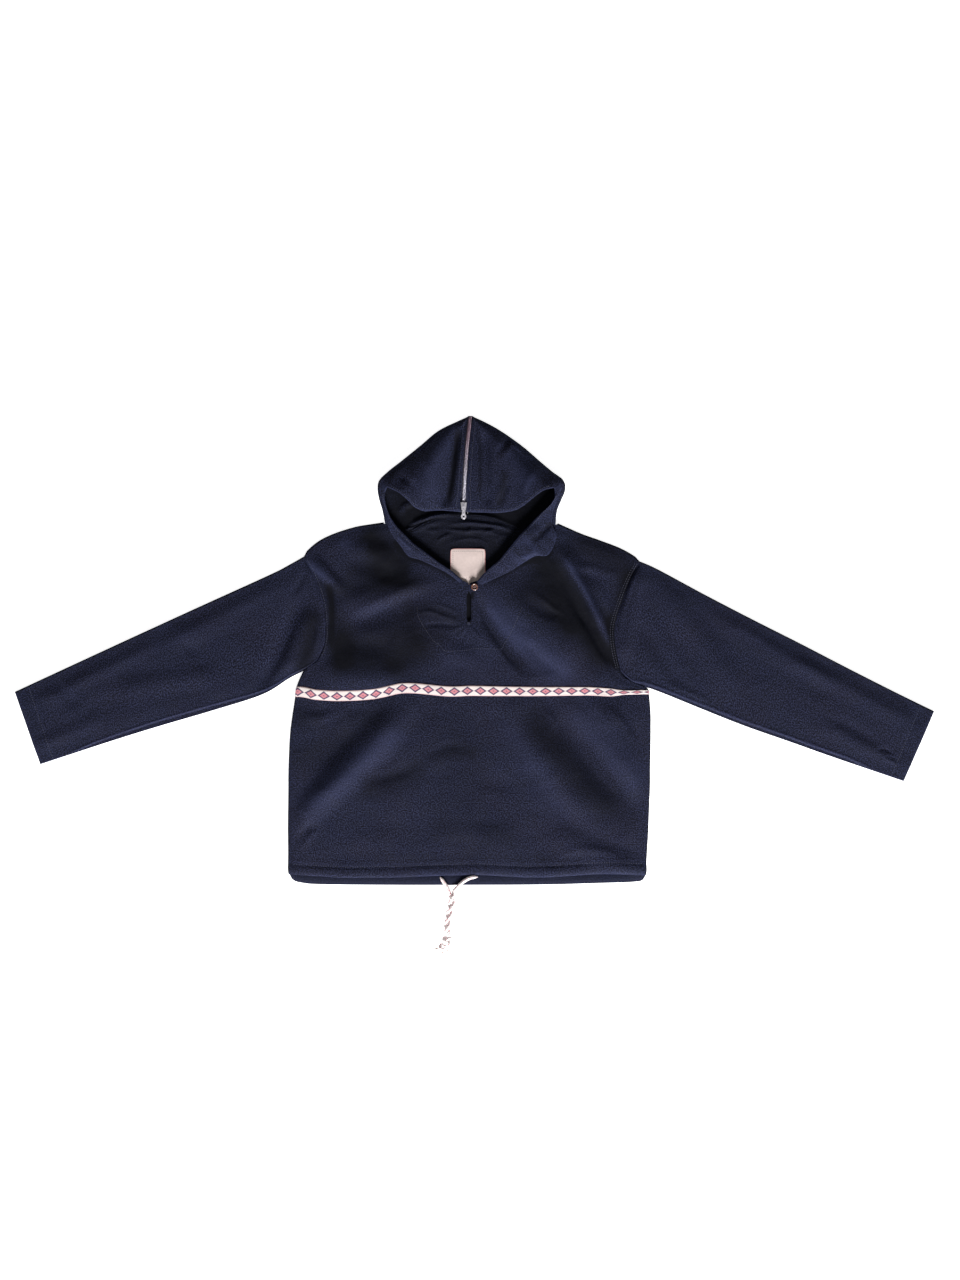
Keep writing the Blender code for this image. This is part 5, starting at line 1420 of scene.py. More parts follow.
@dataclass
class BackPanel:
    """The back: flat on the surface, a little longer than the front, creased inside the neck."""

    columns: int = 120
    rows: int = 150
    inset: float = 0.6
    sleeve_lap: float = 1.9
    first_row: float = 2.0
    thickness: float = 1.3
    flat_size: tuple = (0.60, 0.60)
    flat_area: float = 0.31

    def build(self, finish: Wardrobe) -> Piece:
        """The panel."""
        hem, neck = Route(BACK_HEM), Route(NECK_SEAM)

        def side_points(side: Side, v: Array) -> Array:
            """The side of the panel, hem to neck."""
            s = mix(self.first_row, float(Body.last), v)
            inset = self.inset - self.sleeve_lap * Body.beside_sleeve(s)
            return Body.edge(side, s) - Body.outward(side, s) * inset[:, None]

        def place(u: Array, v: Array) -> Patch:
            """Point of the panel's top."""
            corners = [line.at(end) for line in (hem, neck) for end in (0.0, 1.0)]
            turned = smoothstep(v / 0.12)[:, None]
            left = mix(corners[0], side_points(Side.LEFT, v), turned)
            right = mix(corners[1], side_points(Side.RIGHT, v), turned)
            flat = coons(left, right, hem.at(u), neck.at(u), np.array(corners), u, v)
            x, y = flat[:, 0], flat[:, 1]
            from_hem = y - np.interp(x, *zip(*BACK_HEM))
            z = np.full(len(x), CLOTH)
            z += 1.5 * np.sin(np.pi * np.clip(from_hem / 17.0, 0, 1)) * smoothstep((np.minimum(u, 1 - u)) / 0.02)
            z += np.where(y > 120, crease_height(INNER_CREASES, x, y), 0.0)
            z += 0.25 * (1 + unevenness(x, y, 30.0, 71)) * smoothstep((y - 100) / 30)
            # paler at the hem (rubbed edge and painted light) and on the creases' crests inside the neck (painted
            # highlight); painted shade over the upper back, deepest at the slit and low in the neck opening
            wear_and_painted_light = 0.5 * fading(np.abs(from_hem), 2.0) + 0.45 * smoothstep((20.0 - from_hem) / 4.0)
            wear_and_painted_light += np.where(y > 120, 0.14 * crease_height(INNER_CREASES, x, y), 0.0)
            wear_and_painted_light -= np.where(y > 30, 0.35, 0.0) + 1.0 * ((np.abs(x + 9) < 12) & (y > 36) & (y < 104))
            wear_and_painted_light -= 0.3 * smoothstep((190 - y) / 50) * (y > 100)
            return Patch(join(x, y, z), flat * MM, wear_and_painted_light)

        obj = add_cloth("back_cloth", [(self.columns, self.rows, place)], finish.twill_painted_shade,
                        "navy_twill_back", "back_panel", (self.thickness,))
        return obj


@dataclass
class TrimBand:
    """The woven tape across the chest, laid on the front panel."""

    rise: float = 0.3
    thickness: float = 0.8
    margin: float = 0.08
    pitch: float = 20.84
    first_diamond: float = 9.5
    steps: int = 230
    flat_size: tuple = (0.565, 0.018)

    def build(self, front: FrontPanel, finish: Wardrobe) -> Piece:
        """The tape, turned under at both side seams."""
        turned = 0.02

        def place(side: Side, u: Array, v: Array) -> Patch:
            """One half of the tape: u from the side seam to the centre, v across."""
            drawn_in = self.margin + 0.19 * smoothstep((0.24 - u) / 0.1) * (side is Side.RIGHT)
            s = mix(TAPE_ROWS[0] + drawn_in, TAPE_ROWS[1] - drawn_in, v)
            c = mix(-0.5, 0.0, np.clip(u / turned, 0, 1)) + np.clip((u - turned) / (1 - turned), 0, 1)
            points = front.place(side, c, s)
            level = front.place(side, c, np.full(len(s), sum(TAPE_ROWS) / 2.0))
            points[:, 2] = mix(points[:, 2], level[:, 2], 0.5) + self.rise
            points[:, 2] -= 0.25 * (2 * np.abs(v - 0.5)) ** 6
            cut = join((points[:, 0] - self.first_diamond) / self.pitch + 0.5, 2 * v - 1)
            return Patch(points, cut, np.zeros(len(u)))

        obj = add_cloth("chest_tape", [(self.steps // 2, 8, partial(place, side)) for side in Side],
                        finish.tape, "woven_band", "trim_band", (self.thickness, 1.0, 0.2))
        return obj


# ---------------------------------------------------------------- sleeves
@dataclass
class Sleeve:
    """A sleeve as a flattened tube, open at the armhole and the cuff."""

    side: Side
    top_edge: tuple
    low_edge: tuple
    folds: tuple
    creases: tuple
    puckers: tuple
    strip: tuple
    # painted shade (under 0) and painted highlight, laid out as creases
    painted_shading: tuple = ()
    stations: int = 150
    top_columns: int = 54
    under_columns: int = 16
    roll_steps: int = 7
    flat_size: tuple = (0.50, 0.40)
    flat_area: float = 0.15

    def __post_init__(self) -> None:
        """Sets the edges and the ring of each section."""
        self.clear = np.array((3 * SEAM_GAP * self.side.value, 2 * SEAM_GAP))
        self.seam_start, self.seam_end = self.seam(np.array([0.0]))[0], self.seam(np.array([1.0]))[0]
        self.top = Route([tuple(self.seam_start)] + list(self.top_edge[1:]))
        self.low = Route([tuple(self.seam_end)] + list(self.low_edge[1:]))
        self.along = np.array(spaced(0.0, 1.0, 1.0 / self.stations, 0.5 / self.stations, 0.05))
        under = [("under", i / self.under_columns) for i in range(self.under_columns + 1)]
        angles = [math.pi * (i / self.roll_steps - 0.5) for i in range(1, self.roll_steps)]
        top = spaced(0.0, 1.0, 1.0 / self.top_columns, 0.3 / self.top_columns, 0.16)
        ring = under + [("low_roll", a) for a in angles] + [("top", 1.0 - b) for b in top]
        ring += [("top_roll", a) for a in reversed(angles)]
        self.ring_kind = np.array([kind for kind, _ in ring])
        self.ring_value = np.array([value for _, value in ring])

    def seam(self, v: Array, low: Array | float = 1.0) -> Array:
        """The armhole, beside the body's own edge: against it on top, clear of it where low is 1."""
        underarm, shoulder = ARMHOLE_ROWS
        edge = Body.edge(self.side, mix(float(shoulder), float(underarm), v))
        return edge + self.clear * mix(-0.6, 1.0, np.broadcast_to(low, v.shape))[:, None]

    def place(self, u: Array, k: Array) -> Patch:
        """Points of the tube.

        Args:
            u: from the armhole to the cuff.
            k: numbers round the ring.

        Returns:
            The patch.
        """
        kind, value = self.ring_kind[k], self.ring_value[k]
        top, low = self.top.at(u), self.low.at(u)
        width = row_lengths(top - low)
        r = SLEEVE_ROLL / width
        flat = (kind == "top") | (kind == "under")
        v = np.where(flat, r + value * (1 - 2 * r),
                     np.where(kind == "low_roll", 1 - r + r * np.cos(value), r - r * np.cos(value)))
        corners = np.array([line.at(end)[0] for end in (0.0, 1.0) for line in (self.top, self.low)])
        end_1 = mix(corners[2], corners[3], v[:, None])
        roll = np.sin(np.where(flat, 0.0, value))
        depth = np.where(kind == "top", 0.0, np.where(kind == "under", 1.0, 0.5 * (1 - roll)))
        plan = coons(top, low, self.seam(v, depth), end_1, corners, v, u)
        x, y = plan[:, 0], plan[:, 1]
        roll_z = SLEEVE_ROLL * (1 + roll)
        from_edge = np.minimum(v, 1 - v) * width - SLEEVE_ROLL
        ramp = smoothstep(from_edge / EDGE_RAMP)
        z = mix(2 * SLEEVE_ROLL, SLEEVE_LOFT, ramp) + ramp * fold_height(self.folds, x, y) * 0.8
        fine = crease_height(self.creases, x, y) + pucker_height(self.puckers, x, y)
        fine += 0.55 * crumple(x, y, 5)
        z += smoothstep(from_edge / 14.0) * fine
        length = self.top.length
        from_cuff = (1 - u) * length
        z += 0.4 * ridge(from_cuff - 28.0, 3.0) - 0.45 * ridge(from_cuff - 24.0, 1.6)
        from_low = (1 - v) * width
        strip = np.interp(u, *zip(*self.strip))
        inside = smoothstep((from_low - strip) / 1.9)
        shown = np.clip(strip / 3.0, 0, 1)
        z -= shown * (1 - inside) * (z - 2.5) * smoothstep((from_low - 0.3) / 1.2)
        z += shown * 0.7 * ridge(from_low - strip - 3.0, 1.7)
        z = np.maximum(z, 2 * SHELL + 0.4)
        z -= 1.5 * ridge(u * length, 2.0)
        z -= 0.6 * fading(from_cuff, 1.5)
        z = np.where(kind == "top", z, np.where(kind == "under", 0.0, roll_z))
        z = z * np.where(kind == "low_roll", 1 - 0.35 * shown, 1.0)
        cut = join(u * length, v * width * np.where(kind == "under", -1, 1)) * MM
        # paler at the cuff and the armhole seam (rubbed edges); painted highlight along the low strip's roll; painted
        # shade from the sleeve's own table; the low roll painted a little lighter and the top roll painted dark
        wear_and_painted_light = 0.55 * fading(from_cuff, 1.8) + 0.3 * ridge(u * length, 2.0)
        wear_and_painted_light = wear_and_painted_light + np.where(kind == "top", 0.5 * shown * ridge(from_low - strip - 2.0, 1.5), 0.0)
        wear_and_painted_light = wear_and_painted_light + np.where(kind == "top", np.clip(crease_height(self.painted_shading, x, y, 0.2), -0.8, 0.5), 0.0)
        wear_and_painted_light = np.where(kind == "low_roll", wear_and_painted_light + 0.15, np.where(kind == "top_roll", -0.8, wear_and_painted_light))
        return Patch(join(x, y, z), cut, np.clip(wear_and_painted_light, -1, 1))

    def build(self, finish: Wardrobe) -> Piece:
        """The sleeve."""
        side = self.side.name.lower()
        around, rows = len(self.ring_kind), len(self.along) - 1

        def place(u: Array, v: Array) -> Patch:
            """The tube as a grid."""
            return self.place(self.along[np.rint(v * rows).astype(int)], np.rint(u * around).astype(int) % around)

        obj = add_cloth(f"sleeve_cloth_{side}", [(around, rows, place)], finish.twill, "navy_twill",
                        f"sleeve_{side}")
        return obj


# ---------------------------------------------------------------- hood
@dataclass
class HoodHalf:
    """One half of the hood: crown, folded edge, back and turned-back face edge."""

    side: Side
    edge: tuple
    face: tuple
    turnback: tuple
    ground: Ground
    corner_row: int = 6
    crown_columns: int = 60
    roll_steps: int = 8
    turn: float = 0.25
    neck_lap: float = 3.2
    crown_length: float = 150.0
    under_columns: int = 40
    per_row: int = 10
    flat_size: tuple = (0.30, 0.34)
    flat_area: float = 0.042

    def __post_init__(self) -> None:
        """Reads the tables once."""
        self.out = self.side.value
        self.last = len(self.edge) - 1
        self.centre, self.back_seam, self.face_route = Route(HOOD_CENTRE), Route(BACK_SEAM), Route(self.face)
        self.neck = Route(NECK_SEAM if self.side is Side.RIGHT else NECK_SEAM[::-1])
        self.beside = self.last - self.corner_row
        rows = [(*self.roll_point(self.corner_row)[0], *self.face_route.at(0.0)[0])]
        for number, (x, y, rise, *inner) in enumerate(self.turnback, start=1):
            if number > self.beside:
                outer_z = (self.ground.height(x, y) or LOFT) + rise - 0.5
                inner_z = (self.ground.height(*inner[:2]) or LOFT) + inner[2]
                rows.append((x, y, outer_z, *inner[:2], inner_z))
            else:
                rows.append((*self.roll_point(self.corner_row + number)[0], *inner))
        self.band_rows = np.array(rows)

    def roll_point(self, row: Array | float, angle: Array | float = QUARTER) -> Array:
        """Points on the folded edge, angle from -90 degrees (under) to 90 (top)."""
        row, angle = np.broadcast_arrays(np.atleast_1d(row).astype(float), angle)
        p = through(self.edge, row)
        step = through(self.edge, np.minimum(self.last, row + 0.1)) - through(self.edge, np.maximum(0, row - 0.1))
        step = step[:, :2] / row_lengths(step[:, :2])[:, None]
        inward = join(step[:, 1], -step[:, 0]) * self.out
        apex_turn = np.clip(1.0 - row, 0.0, 1.0)[:, None]
        inward = mix(inward, np.array((0.0, -1.0)), apex_turn)
        inward /= row_lengths(inward)[:, None]
        back_off = p[:, 2] * (1.0 - np.cos(angle))
        apex = np.clip(1.0 - row / 0.5, 0.0, 1.0)
        open_up = (ZIP_HALF_GAP - 1.4) * apex * (0.5 + 0.5 * np.sin(angle))
        return join(p[:, 0] + inward[:, 0] * back_off + self.out * open_up,
                    p[:, 1] + inward[:, 1] * back_off, p[:, 2] * (1.0 + np.sin(angle)))

    def centre_edge(self, v: Array) -> Array:
        """The crown's edge beside the zip."""
        p = self.centre.at(v)
        half_gap = mix(ZIP_HALF_GAP, SLIDER_HALF_GAP, smoothstep((v - 0.74) / 0.14))
        p[:, 0] += self.out * half_gap
        return mix(self.roll_point(np.zeros(len(p))), p, smoothstep(v / 0.04)[:, None])

    def face_edge(self, u: Array) -> Array:
        """The crown's front edge, from the folded edge to the zip."""
        corner = self.roll_point(np.full(len(u), self.corner_row))
        first = mix(corner, self.face_route.at(0.0), (u / self.turn)[:, None])
        point = self.face_route.at(np.clip((u - self.turn) / (1 - self.turn), 0, 1))
        end = self.centre_edge(np.ones(len(u)))
        point = mix(point, end, smoothstep((u - 0.9) / 0.1)[:, None])
        return np.where((u <= self.turn)[:, None], first, point)

    def crown(self, u: Array, v: Array) -> Patch:
        """Points of the crown: u from the folded edge to the zip, v from the apex to the face."""
        one, zero = np.ones(1), np.zeros(1)
        apex = self.roll_point(0)
        corners = np.array([apex[0], self.centre_edge(zero)[0], self.roll_point(self.corner_row)[0],
                            self.face_edge(one)[0]])
        p = coons(self.roll_point(v * self.corner_row), self.centre_edge(v), apex, self.face_edge(u), corners, u, v)
        fade = within(u, 0.25, 0.15) * smoothstep(v / 0.3)
        x, y = p[:, 0], p[:, 1]
        z = p[:, 2] + fade * fold_height(CROWN_FOLDS, x, y) * smoothstep((1.15 - v) / 0.3)
        soft = within(u, 0.12, 0.04) * smoothstep(v / 0.12)
        fine = crease_height(CROWN_CREASES, x, y) + pucker_height(CROWN_PUCKERS, x, y)
        fine += 0.8 * crumple(x, y, 41)
        z += soft * fine
        beside_zip = (1 - u) * np.abs(x + 14.0) / np.maximum(1 - u, 1e-3)
        z -= 0.5 * ridge(beside_zip - 9.5, 1.3) * smoothstep(v / 0.1)
        z -= 0.9 * fading((1 - v) * self.crown_length, 1.4) + 0.8 * fading((1 - u) * 60.0, 0.7)
        # paler at the face edge and beside the zip (rubbed edges); painted shade and highlight from the crown's
        # table, and the whole crown painted a little lighter
        wear_and_painted_light = 0.5 * fading((1 - v) * self.crown_length, 2.2) + 0.4 * fading((1 - u) * 90, 1.8)
        wear_and_painted_light += np.clip(crease_height(CROWN_PAINTED_SHADING, x, y, 0.15) + 0.06, -0.9, 0.5)
        return Patch(join(x, y, z), p[:, :2] * MM, wear_and_painted_light)

    def under(self, u: Array, v: Array) -> Patch:
        """Points of the back of the hood, flat on the surface, apex to neck seam."""
        def seam_side(w: Array) -> Array:
            """The seam up the middle of the hood's back."""
            p = self.back_seam.at(w)
            return join(p[:, 0] + self.out * SEAM_GAP / 2.0, p[:, 1], np.zeros(len(w)))

        def neck_side(w: Array) -> Array:
            """The seam to the back panel."""
            start = self.roll_point(self.last, -QUARTER)
            level = self.neck.at(1.0 - w * 0.5)
            level = join(level[:, 0], level[:, 1] - self.neck_lap, np.zeros(len(w)))
            p = mix(start, level, smoothstep(w / 0.15)[:, None])
            return mix(p, seam_side(np.ones(1)), smoothstep((w - 0.9) / 0.1)[:, None])

        def low_side(w: Array) -> Array:
            """The folded edge's lowest line."""
            return self.roll_point(w * self.last, -QUARTER)

        one, zero = np.ones(1), np.zeros(1)
        corners = np.array([low_side(zero)[0], seam_side(zero)[0], low_side(one)[0], seam_side(one)[0]])
        p = coons(low_side(v), seam_side(v), low_side(zero), neck_side(u), corners, u, v)
        x, y = p[:, 0], p[:, 1]
        soft = smoothstep(u / 0.1) * smoothstep(v / 0.3)
        lift = np.maximum(crease_height(INNER_CREASES, x, y), 0) + 0.4 * (1 + unevenness(x, y, 34.0, 44))
        lift += 1.9 * ridge((1 - v) * self.crown_length, 4.0)
        # painted shade over the hood's back, lifted on the creases' crests and by a patch of painted light near the
        # left face edge
        deep = -0.85 + 0.9 * np.clip(crease_height(INNER_CREASES, x, y) / 3.0, 0, 1)
        deep += 0.55 * np.exp(-((x + 134) / 14.0) ** 2 - ((y - 246) / 16.0) ** 2)
        return Patch(join(x, y, soft * lift), p[:, :2] * MM, deep)

    def rolled(self, u: Array, v: Array) -> Patch:
        """The folded edge itself."""
        p = self.roll_point(v * self.last, np.pi * (u - 0.5))
        # painted shade on the folded edge's underside and outer face, lighter on its top and at its neck end
        return Patch(p, p[:, :2] * MM, np.where((u < 0.7) & (v < 0.93), -0.8, -0.1))

    def band(self, u: Array, v: Array) -> Patch:
        """The turned-back edge: u from its outer to its inner edge, v from the corner down."""
        row = v * (len(self.band_rows) - 1)
        t = through(self.band_rows, row)
        p = mix(t[:, :3], t[:, 3:], u[:, None])
        p[:, 2] = mix(t[:, 2], t[:, 5], np.sin(np.pi / 2 * u))
        first = self.face_edge(u * self.turn)
        p = mix(first, p, smoothstep(row / 0.6)[:, None])
        x, y = p[:, 0], p[:, 1]
        clear = self.ground.heights(x, y) + 1.4 + 1.0 * u
        on_front = smoothstep((row - self.beside + 0.4) / 0.8)
        fine = crease_height(BAND_CREASES, x, y) + 0.25 * unevenness(x, y, 24.0, 61)
        soft = within(u, 0.15, 0.1)
        z = p[:, 2] + soft * fine * smoothstep(row / 1.5)
        z = np.where(row > self.beside - 0.5, np.maximum(z, mix(z, clear, on_front)), z)
        width = row_lengths(t[:, 3:5] - t[:, 0:2])
        z -= 1.0 * fading((1 - u) * width, 1.3) * smoothstep(row / 0.8)
        # paler at both edges (rubbed folds and painted light) and over the whole band (painted light), with uneven
        # patches and along its creases
        wear_and_painted_light = 0.5 * fading((1 - u) * width, 1.8) + 0.35 * fading(u * width, 1.8)
        wear_and_painted_light += 0.12 + 0.35 * unevenness(x, y, 22.0, 62) + 0.5 * np.clip(crease_height(BAND_CREASES, x, y), -1, 1)
        return Patch(join(x, y, z), p[:, :2] * MM, wear_and_painted_light)

    def build(self, finish: Wardrobe) -> Piece:
        """The half as one thin shell."""
        side = self.side.name.lower()
        grids = ((self.roll_steps, self.last, self.rolled),
                 (self.crown_columns, self.corner_row, self.crown),
                 (self.under_columns, self.last, self.under),
                 (round(self.crown_columns * self.turn), len(self.turnback), self.band))
        obj = add_cloth(f"hood_cloth_{side}", [(c, r * self.per_row, place) for c, r, place in grids],
                        finish.twill, "navy_twill", f"hood_{side}", merge=0.05)
        obj.data.materials.append(finish.twill_painted_shade)
        obj.modifiers["wall"].material_offset = 1
        return obj


# ---------------------------------------------------------------- zip
@dataclass
class Zip:
    """Tape, teeth, slider and pull down the hood's centre."""

    start: float = 0.012
    end: float = 0.90
    tape_half: float = 8.0
    tape_thickness: float = 0.6
    tooth_pitch: float = 2.15
    tooth: tuple = (3.3, 1.25, 1.9)
    slider: tuple = (10.0, 12.0, 3.6)

    def build_tape(self, finish: Wardrobe) -> None:
        """The zip's own tape, below the folded cloth."""
        centre = Route(HOOD_CENTRE)

        def place(u: Array, v: Array) -> Patch:
            """Strip along the centre."""
            p = centre.at(v)
            half = mix(2.6, self.tape_half, smoothstep((v - 0.02) / 0.06))
            p[:, 0] += mix(-half, half, u)
            p[:, 2] -= 2.15 + 1.6 * smoothstep((0.03 - v) / 0.03)
            return Patch(p, join(u * 0.016, v * 0.15), np.zeros(len(u)))

        obj = add_cloth("zip_tape_cloth", [(10, 60, place)], finish.zip_cloth, "zip_cloth", "zip_tape",
                        (self.tape_thickness, -1.0, 0.15))

    def build_teeth(self, finish: Wardrobe) -> None:
        """The teeth, left and right in turn."""
        centre = Route(HOOD_CENTRE)
        count = int(centre.length * (self.end - self.start) / self.tooth_pitch)
        bm = bmesh.new()
        width, length, height = self.tooth
        for k in range(2 * count):
            share = mix(self.start, self.end, (k + 0.5) / (2 * count))
            x, y, z = centre.at(share)[0]
            ahead = centre.at(min(1.0, share + 0.01))[0] - centre.at(share - 0.01)[0]
            side = -1 if k % 2 else 1
            slope = math.atan2(ahead[2], -ahead[1])
            swing = math.atan2(ahead[0], -ahead[1])
            turn = (Matrix.Translation(Vector((x + side * 1.05, y, z - 2.15 + height / 2.0 + 0.25)) * MM)
                    @ Matrix.Rotation(swing, 4, "Z") @ Matrix.Rotation(-slope, 4, "X")
                    @ Matrix.Diagonal((width * MM, length * MM, height * MM, 1)))
            bmesh.ops.create_cube(bm, size=1.0, matrix=turn)
        round_edges(bm, bm.edges[:], 0.34, 2)
        add_piece("zip_teeth", close_mesh(bm, "zip_teeth", False, 0.005), finish.aged_nickel, "nickel", ["zip_chain"])

    def build_slider(self, finish: Wardrobe) -> tuple[float, float, float]:
        """The slider with its side flanges and bridge.

        Returns:
            The axis of the pull.
        """
        x, y, z = Route(HOOD_CENTRE).at(self.end)[0]
        width, length, height = self.slider
        floor = z - CLOTH - SEAM_GAP
        middle = Vector((x, y - SEAM_GAP - length / 2.0, floor + height / 2.0))
        bm = bmesh.new()
        for lift, size in ((-0.31, 0.30), (0.31, 0.38), (0.0, 0.5)):
            plate = bmesh.ops.create_cube(bm, size=1.0)["verts"]
            narrow = 0.82 if lift == 0.0 else 1.0
            bmesh.ops.scale(bm, vec=Vector((width * narrow, length * narrow, height * size)) * MM, verts=plate)
            bmesh.ops.translate(bm, vec=Vector((0, 0, lift * height)) * MM, verts=plate)
        for vert in bm.verts:
            if vert.co.y < 0:
                vert.co.x *= 0.66
        bmesh.ops.subdivide_edges(bm, edges=bm.edges[:], cuts=2, use_grid_fill=True)
        for vert in bm.verts:
            nose = max(0.0, -vert.co.y / (length * MM / 2))
            vert.co.x *= 1.0 - 0.18 * nose**3
        round_edges(bm, [e for e in bm.edges if e.calc_face_angle(0.0) > 0.6], 0.35, 3)
        bmesh.ops.translate(bm, vec=middle * MM, verts=bm.verts)
        axis = (x, middle.y - 0.4, floor + height + 0.7 + 2 * SEAM_GAP)
        angle = np.linspace(-0.35, math.pi + 0.35, 26)
        arch = join(np.full(26, x), axis[1] + 2.55 * np.cos(angle), axis[2] + 2.15 * np.sin(angle))
        grid_patch(bm, *tube_patch(arch, 0.62, 12))
        add_piece("zip_slider_body", close_mesh(bm, "zip_slider_body", False, 0.004), finish.nickel, "nickel",
                  ["zip_slider"])
        return axis

    def build_pull(self, axis: tuple[float, float, float], finish: Wardrobe) -> None:
        """The pull tab, a flat plate with a window, a neck and a round eye, lying towards the hem."""
        bar, half, frame_half, neck, neck_end, reach = 0.7, 4.3, 3.3, 2.6, 11.5, 20.5
        window_end = -bar - 4.4
        centre = -reach + half
        curve = bpy.data.curves.new("pull_outline", "CURVE")
        curve.dimensions, curve.fill_mode = "2D", "BOTH"
        curve.extrude, curve.bevel_depth, curve.bevel_resolution = 0.35 * MM, 0.25 * MM, 3
        curve.offset = -0.25 * MM
        outline = [(-frame_half, bar), (frame_half, bar), (frame_half, window_end - bar),
                   (neck, window_end - 2 * bar), (neck, -neck_end)]
        outline += [(half * math.cos(a), centre + half * math.sin(a))
                    for a in np.radians(np.linspace(40, -220, 33))]
        outline += [(-neck, -neck_end), (-neck, window_end - 2 * bar), (-frame_half, window_end - bar)]
        window = [(-1.7, -bar), (1.7, -bar), (1.7, window_end), (-1.7, window_end)]
        eye = [(1.5 * math.cos(a), centre + 1.5 * math.sin(a)) for a in np.radians(np.arange(0, 360, 15))]
        for points in (outline, window, eye):
            spline = curve.splines.new("POLY")
            spline.points.add(len(points) - 1)
            for point, (px, py) in zip(spline.points, points):
                point.co = (px * MM, py * MM, 0.0, 1.0)
            spline.use_cyclic_u = True
        source = put("pull_outline", curve)
        mesh = as_built(source)
        bpy.data.objects.remove(source)
        bm = bmesh.new()
        bm.from_mesh(mesh)
        bpy.data.meshes.remove(mesh)
        bmesh.ops.translate(bm, vec=Vector(axis) * MM, verts=bm.verts)
        turn = np.linspace(0, 2 * np.pi, 29)
        rim = np.array(axis) + join(3.4 * np.cos(turn), centre + 3.4 * np.sin(turn), np.full(29, 0.5))
        grid_patch(bm, *tube_patch(rim, 0.28, 6))
        made = add_piece("pull_tab", close_mesh(bm, "pull_tab", False, 0.004), finish.nickel, "nickel",
                         ["zip_pull"], body="zip_pull")
        for face in made.data.polygons:
            face.use_smooth = abs(face.normal.z) < 0.95

    def build(self, finish: Wardrobe) -> None:
        """The whole zip."""
        self.build_tape(finish)
        self.build_teeth(finish)
        self.build_pull(self.build_slider(finish), finish)


# ---------------------------------------------------------------- small pieces
@dataclass
class NeckPatch:
    """The bare woven patch inside the back neck, with its dashed border."""

    size: tuple = (56.0, 58.0)
    centre: tuple = (-10.6, 134.0)
    level: float = 2.1
    thickness: float = 0.55

    def build(self, finish: Wardrobe) -> Piece:
        """The patch, curling a little at its corners."""
        half_x, half_y = self.size[0] / 2, self.size[1] / 2

        def place(u: Array, v: Array) -> Patch:
            """Point of the patch."""
            a, b = 2 * u - 1, 2 * v - 1
            round_off = 1.0 - 0.055 * (np.abs(a * b)) ** 7
            x = self.centre[0] + a * half_x * round_off
            y = self.centre[1] + b * half_y * round_off
            z = self.level + 0.22 * (1 + unevenness(x, y, 26.0, 81)) + 0.3 * (np.abs(a * b)) ** 4
            return Patch(join(x, y, z), join(a, b), np.zeros(len(u)))

        obj = add_cloth("neck_patch", [(44, 44, place)], finish.patch, "label_cloth", "neck_label",
                        (self.thickness, 1.0, 0.15))
        return obj

    def border(self) -> list[tuple[float, float]]:
        """The line of its stitches."""
        x, y, a, b = *self.centre, self.size[0] / 2 - 4.2, self.size[1] / 2 - 4.2
        return [(x - a, y - b), (x - a, y + b), (x + a, y + b), (x + a, y - b), (x - a, y - b)]


@dataclass
class ShirtButton:
    """The four-hole button at the foot of the V, sewn on with dark thread."""

    place: tuple = (0.0, 101.5)
    radius: float = 5.6
    thickness: float = 2.6
    hole: float = 0.72
    hole_offset: float = 1.45

    def build(self, finish: Wardrobe) -> None:
        """The turned disc with its holes and thread."""
        x, y = self.place
        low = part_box("neck_button")[0].z / MM
        r, t = self.radius, self.thickness
        profile = [(0.0, 0.66 * t), (0.58 * r, 0.66 * t), (0.68 * r, 0.84 * t), (0.78 * r, t), (0.9 * r, 0.97 * t),
                   (r, 0.72 * t), (r, 0.4 * t), (0.86 * r, 0.0), (0.0, 0.0)]
        bm = bmesh.new()
        verts = [bm.verts.new(Vector((a, 0.0, b)) * MM) for a, b in profile]
        edges = [bm.edges.new(pair) for pair in zip(verts, verts[1:])]
        bmesh.ops.spin(bm, geom=verts + edges, cent=(0, 0, 0), axis=(0, 0, 1), angle=2 * math.pi, steps=48,
                       use_merge=True)
        bmesh.ops.translate(bm, vec=Vector((x, y, low)) * MM, verts=bm.verts)
        obj = add_piece("horn_button", close_mesh(bm, "horn_button", False, 0.01), finish.horn, "brown_horn",
                        ["neck_button"])
        cutter_bm = bmesh.new()
        for dx in (-1, 1):
            for dy in (-1, 1):
                place = Vector((x + dx * self.hole_offset, y + dy * self.hole_offset, low + t / 2)) * MM
                bmesh.ops.create_cone(cutter_bm, cap_ends=True, segments=14, radius1=self.hole * MM,
                                      radius2=self.hole * MM, depth=3 * t * MM, matrix=Matrix.Translation(place))
        mesh = bpy.data.meshes.new("button_holes")
        cutter_bm.to_mesh(mesh)
        cutter_bm.free()
        cutter = put("button_holes", mesh)
        holes = obj.modifiers.new("holes", "BOOLEAN")
        holes.operation, holes.object, holes.solver = "DIFFERENCE", cutter, "EXACT"
        cut = as_built(obj)
        obj.modifiers.clear()
        obj.data = cut
        bpy.data.objects.remove(cutter)
        bm = bmesh.new()
        for dx in (-1, 1):
            share = np.linspace(0, 1, 13)
            path = join(np.full(13, x + dx * self.hole_offset), y + self.hole_offset * (2 * share - 1),
                        low + 0.5 + (0.66 * t + 0.1) * np.sin(np.pi * share) ** 0.35)
            grid_patch(bm, *tube_patch(path, 0.5, 8))
        fill_ends(bm)
        add_piece("button_thread", close_mesh(bm, "button_thread", False), finish.dark_thread, "brown_horn")


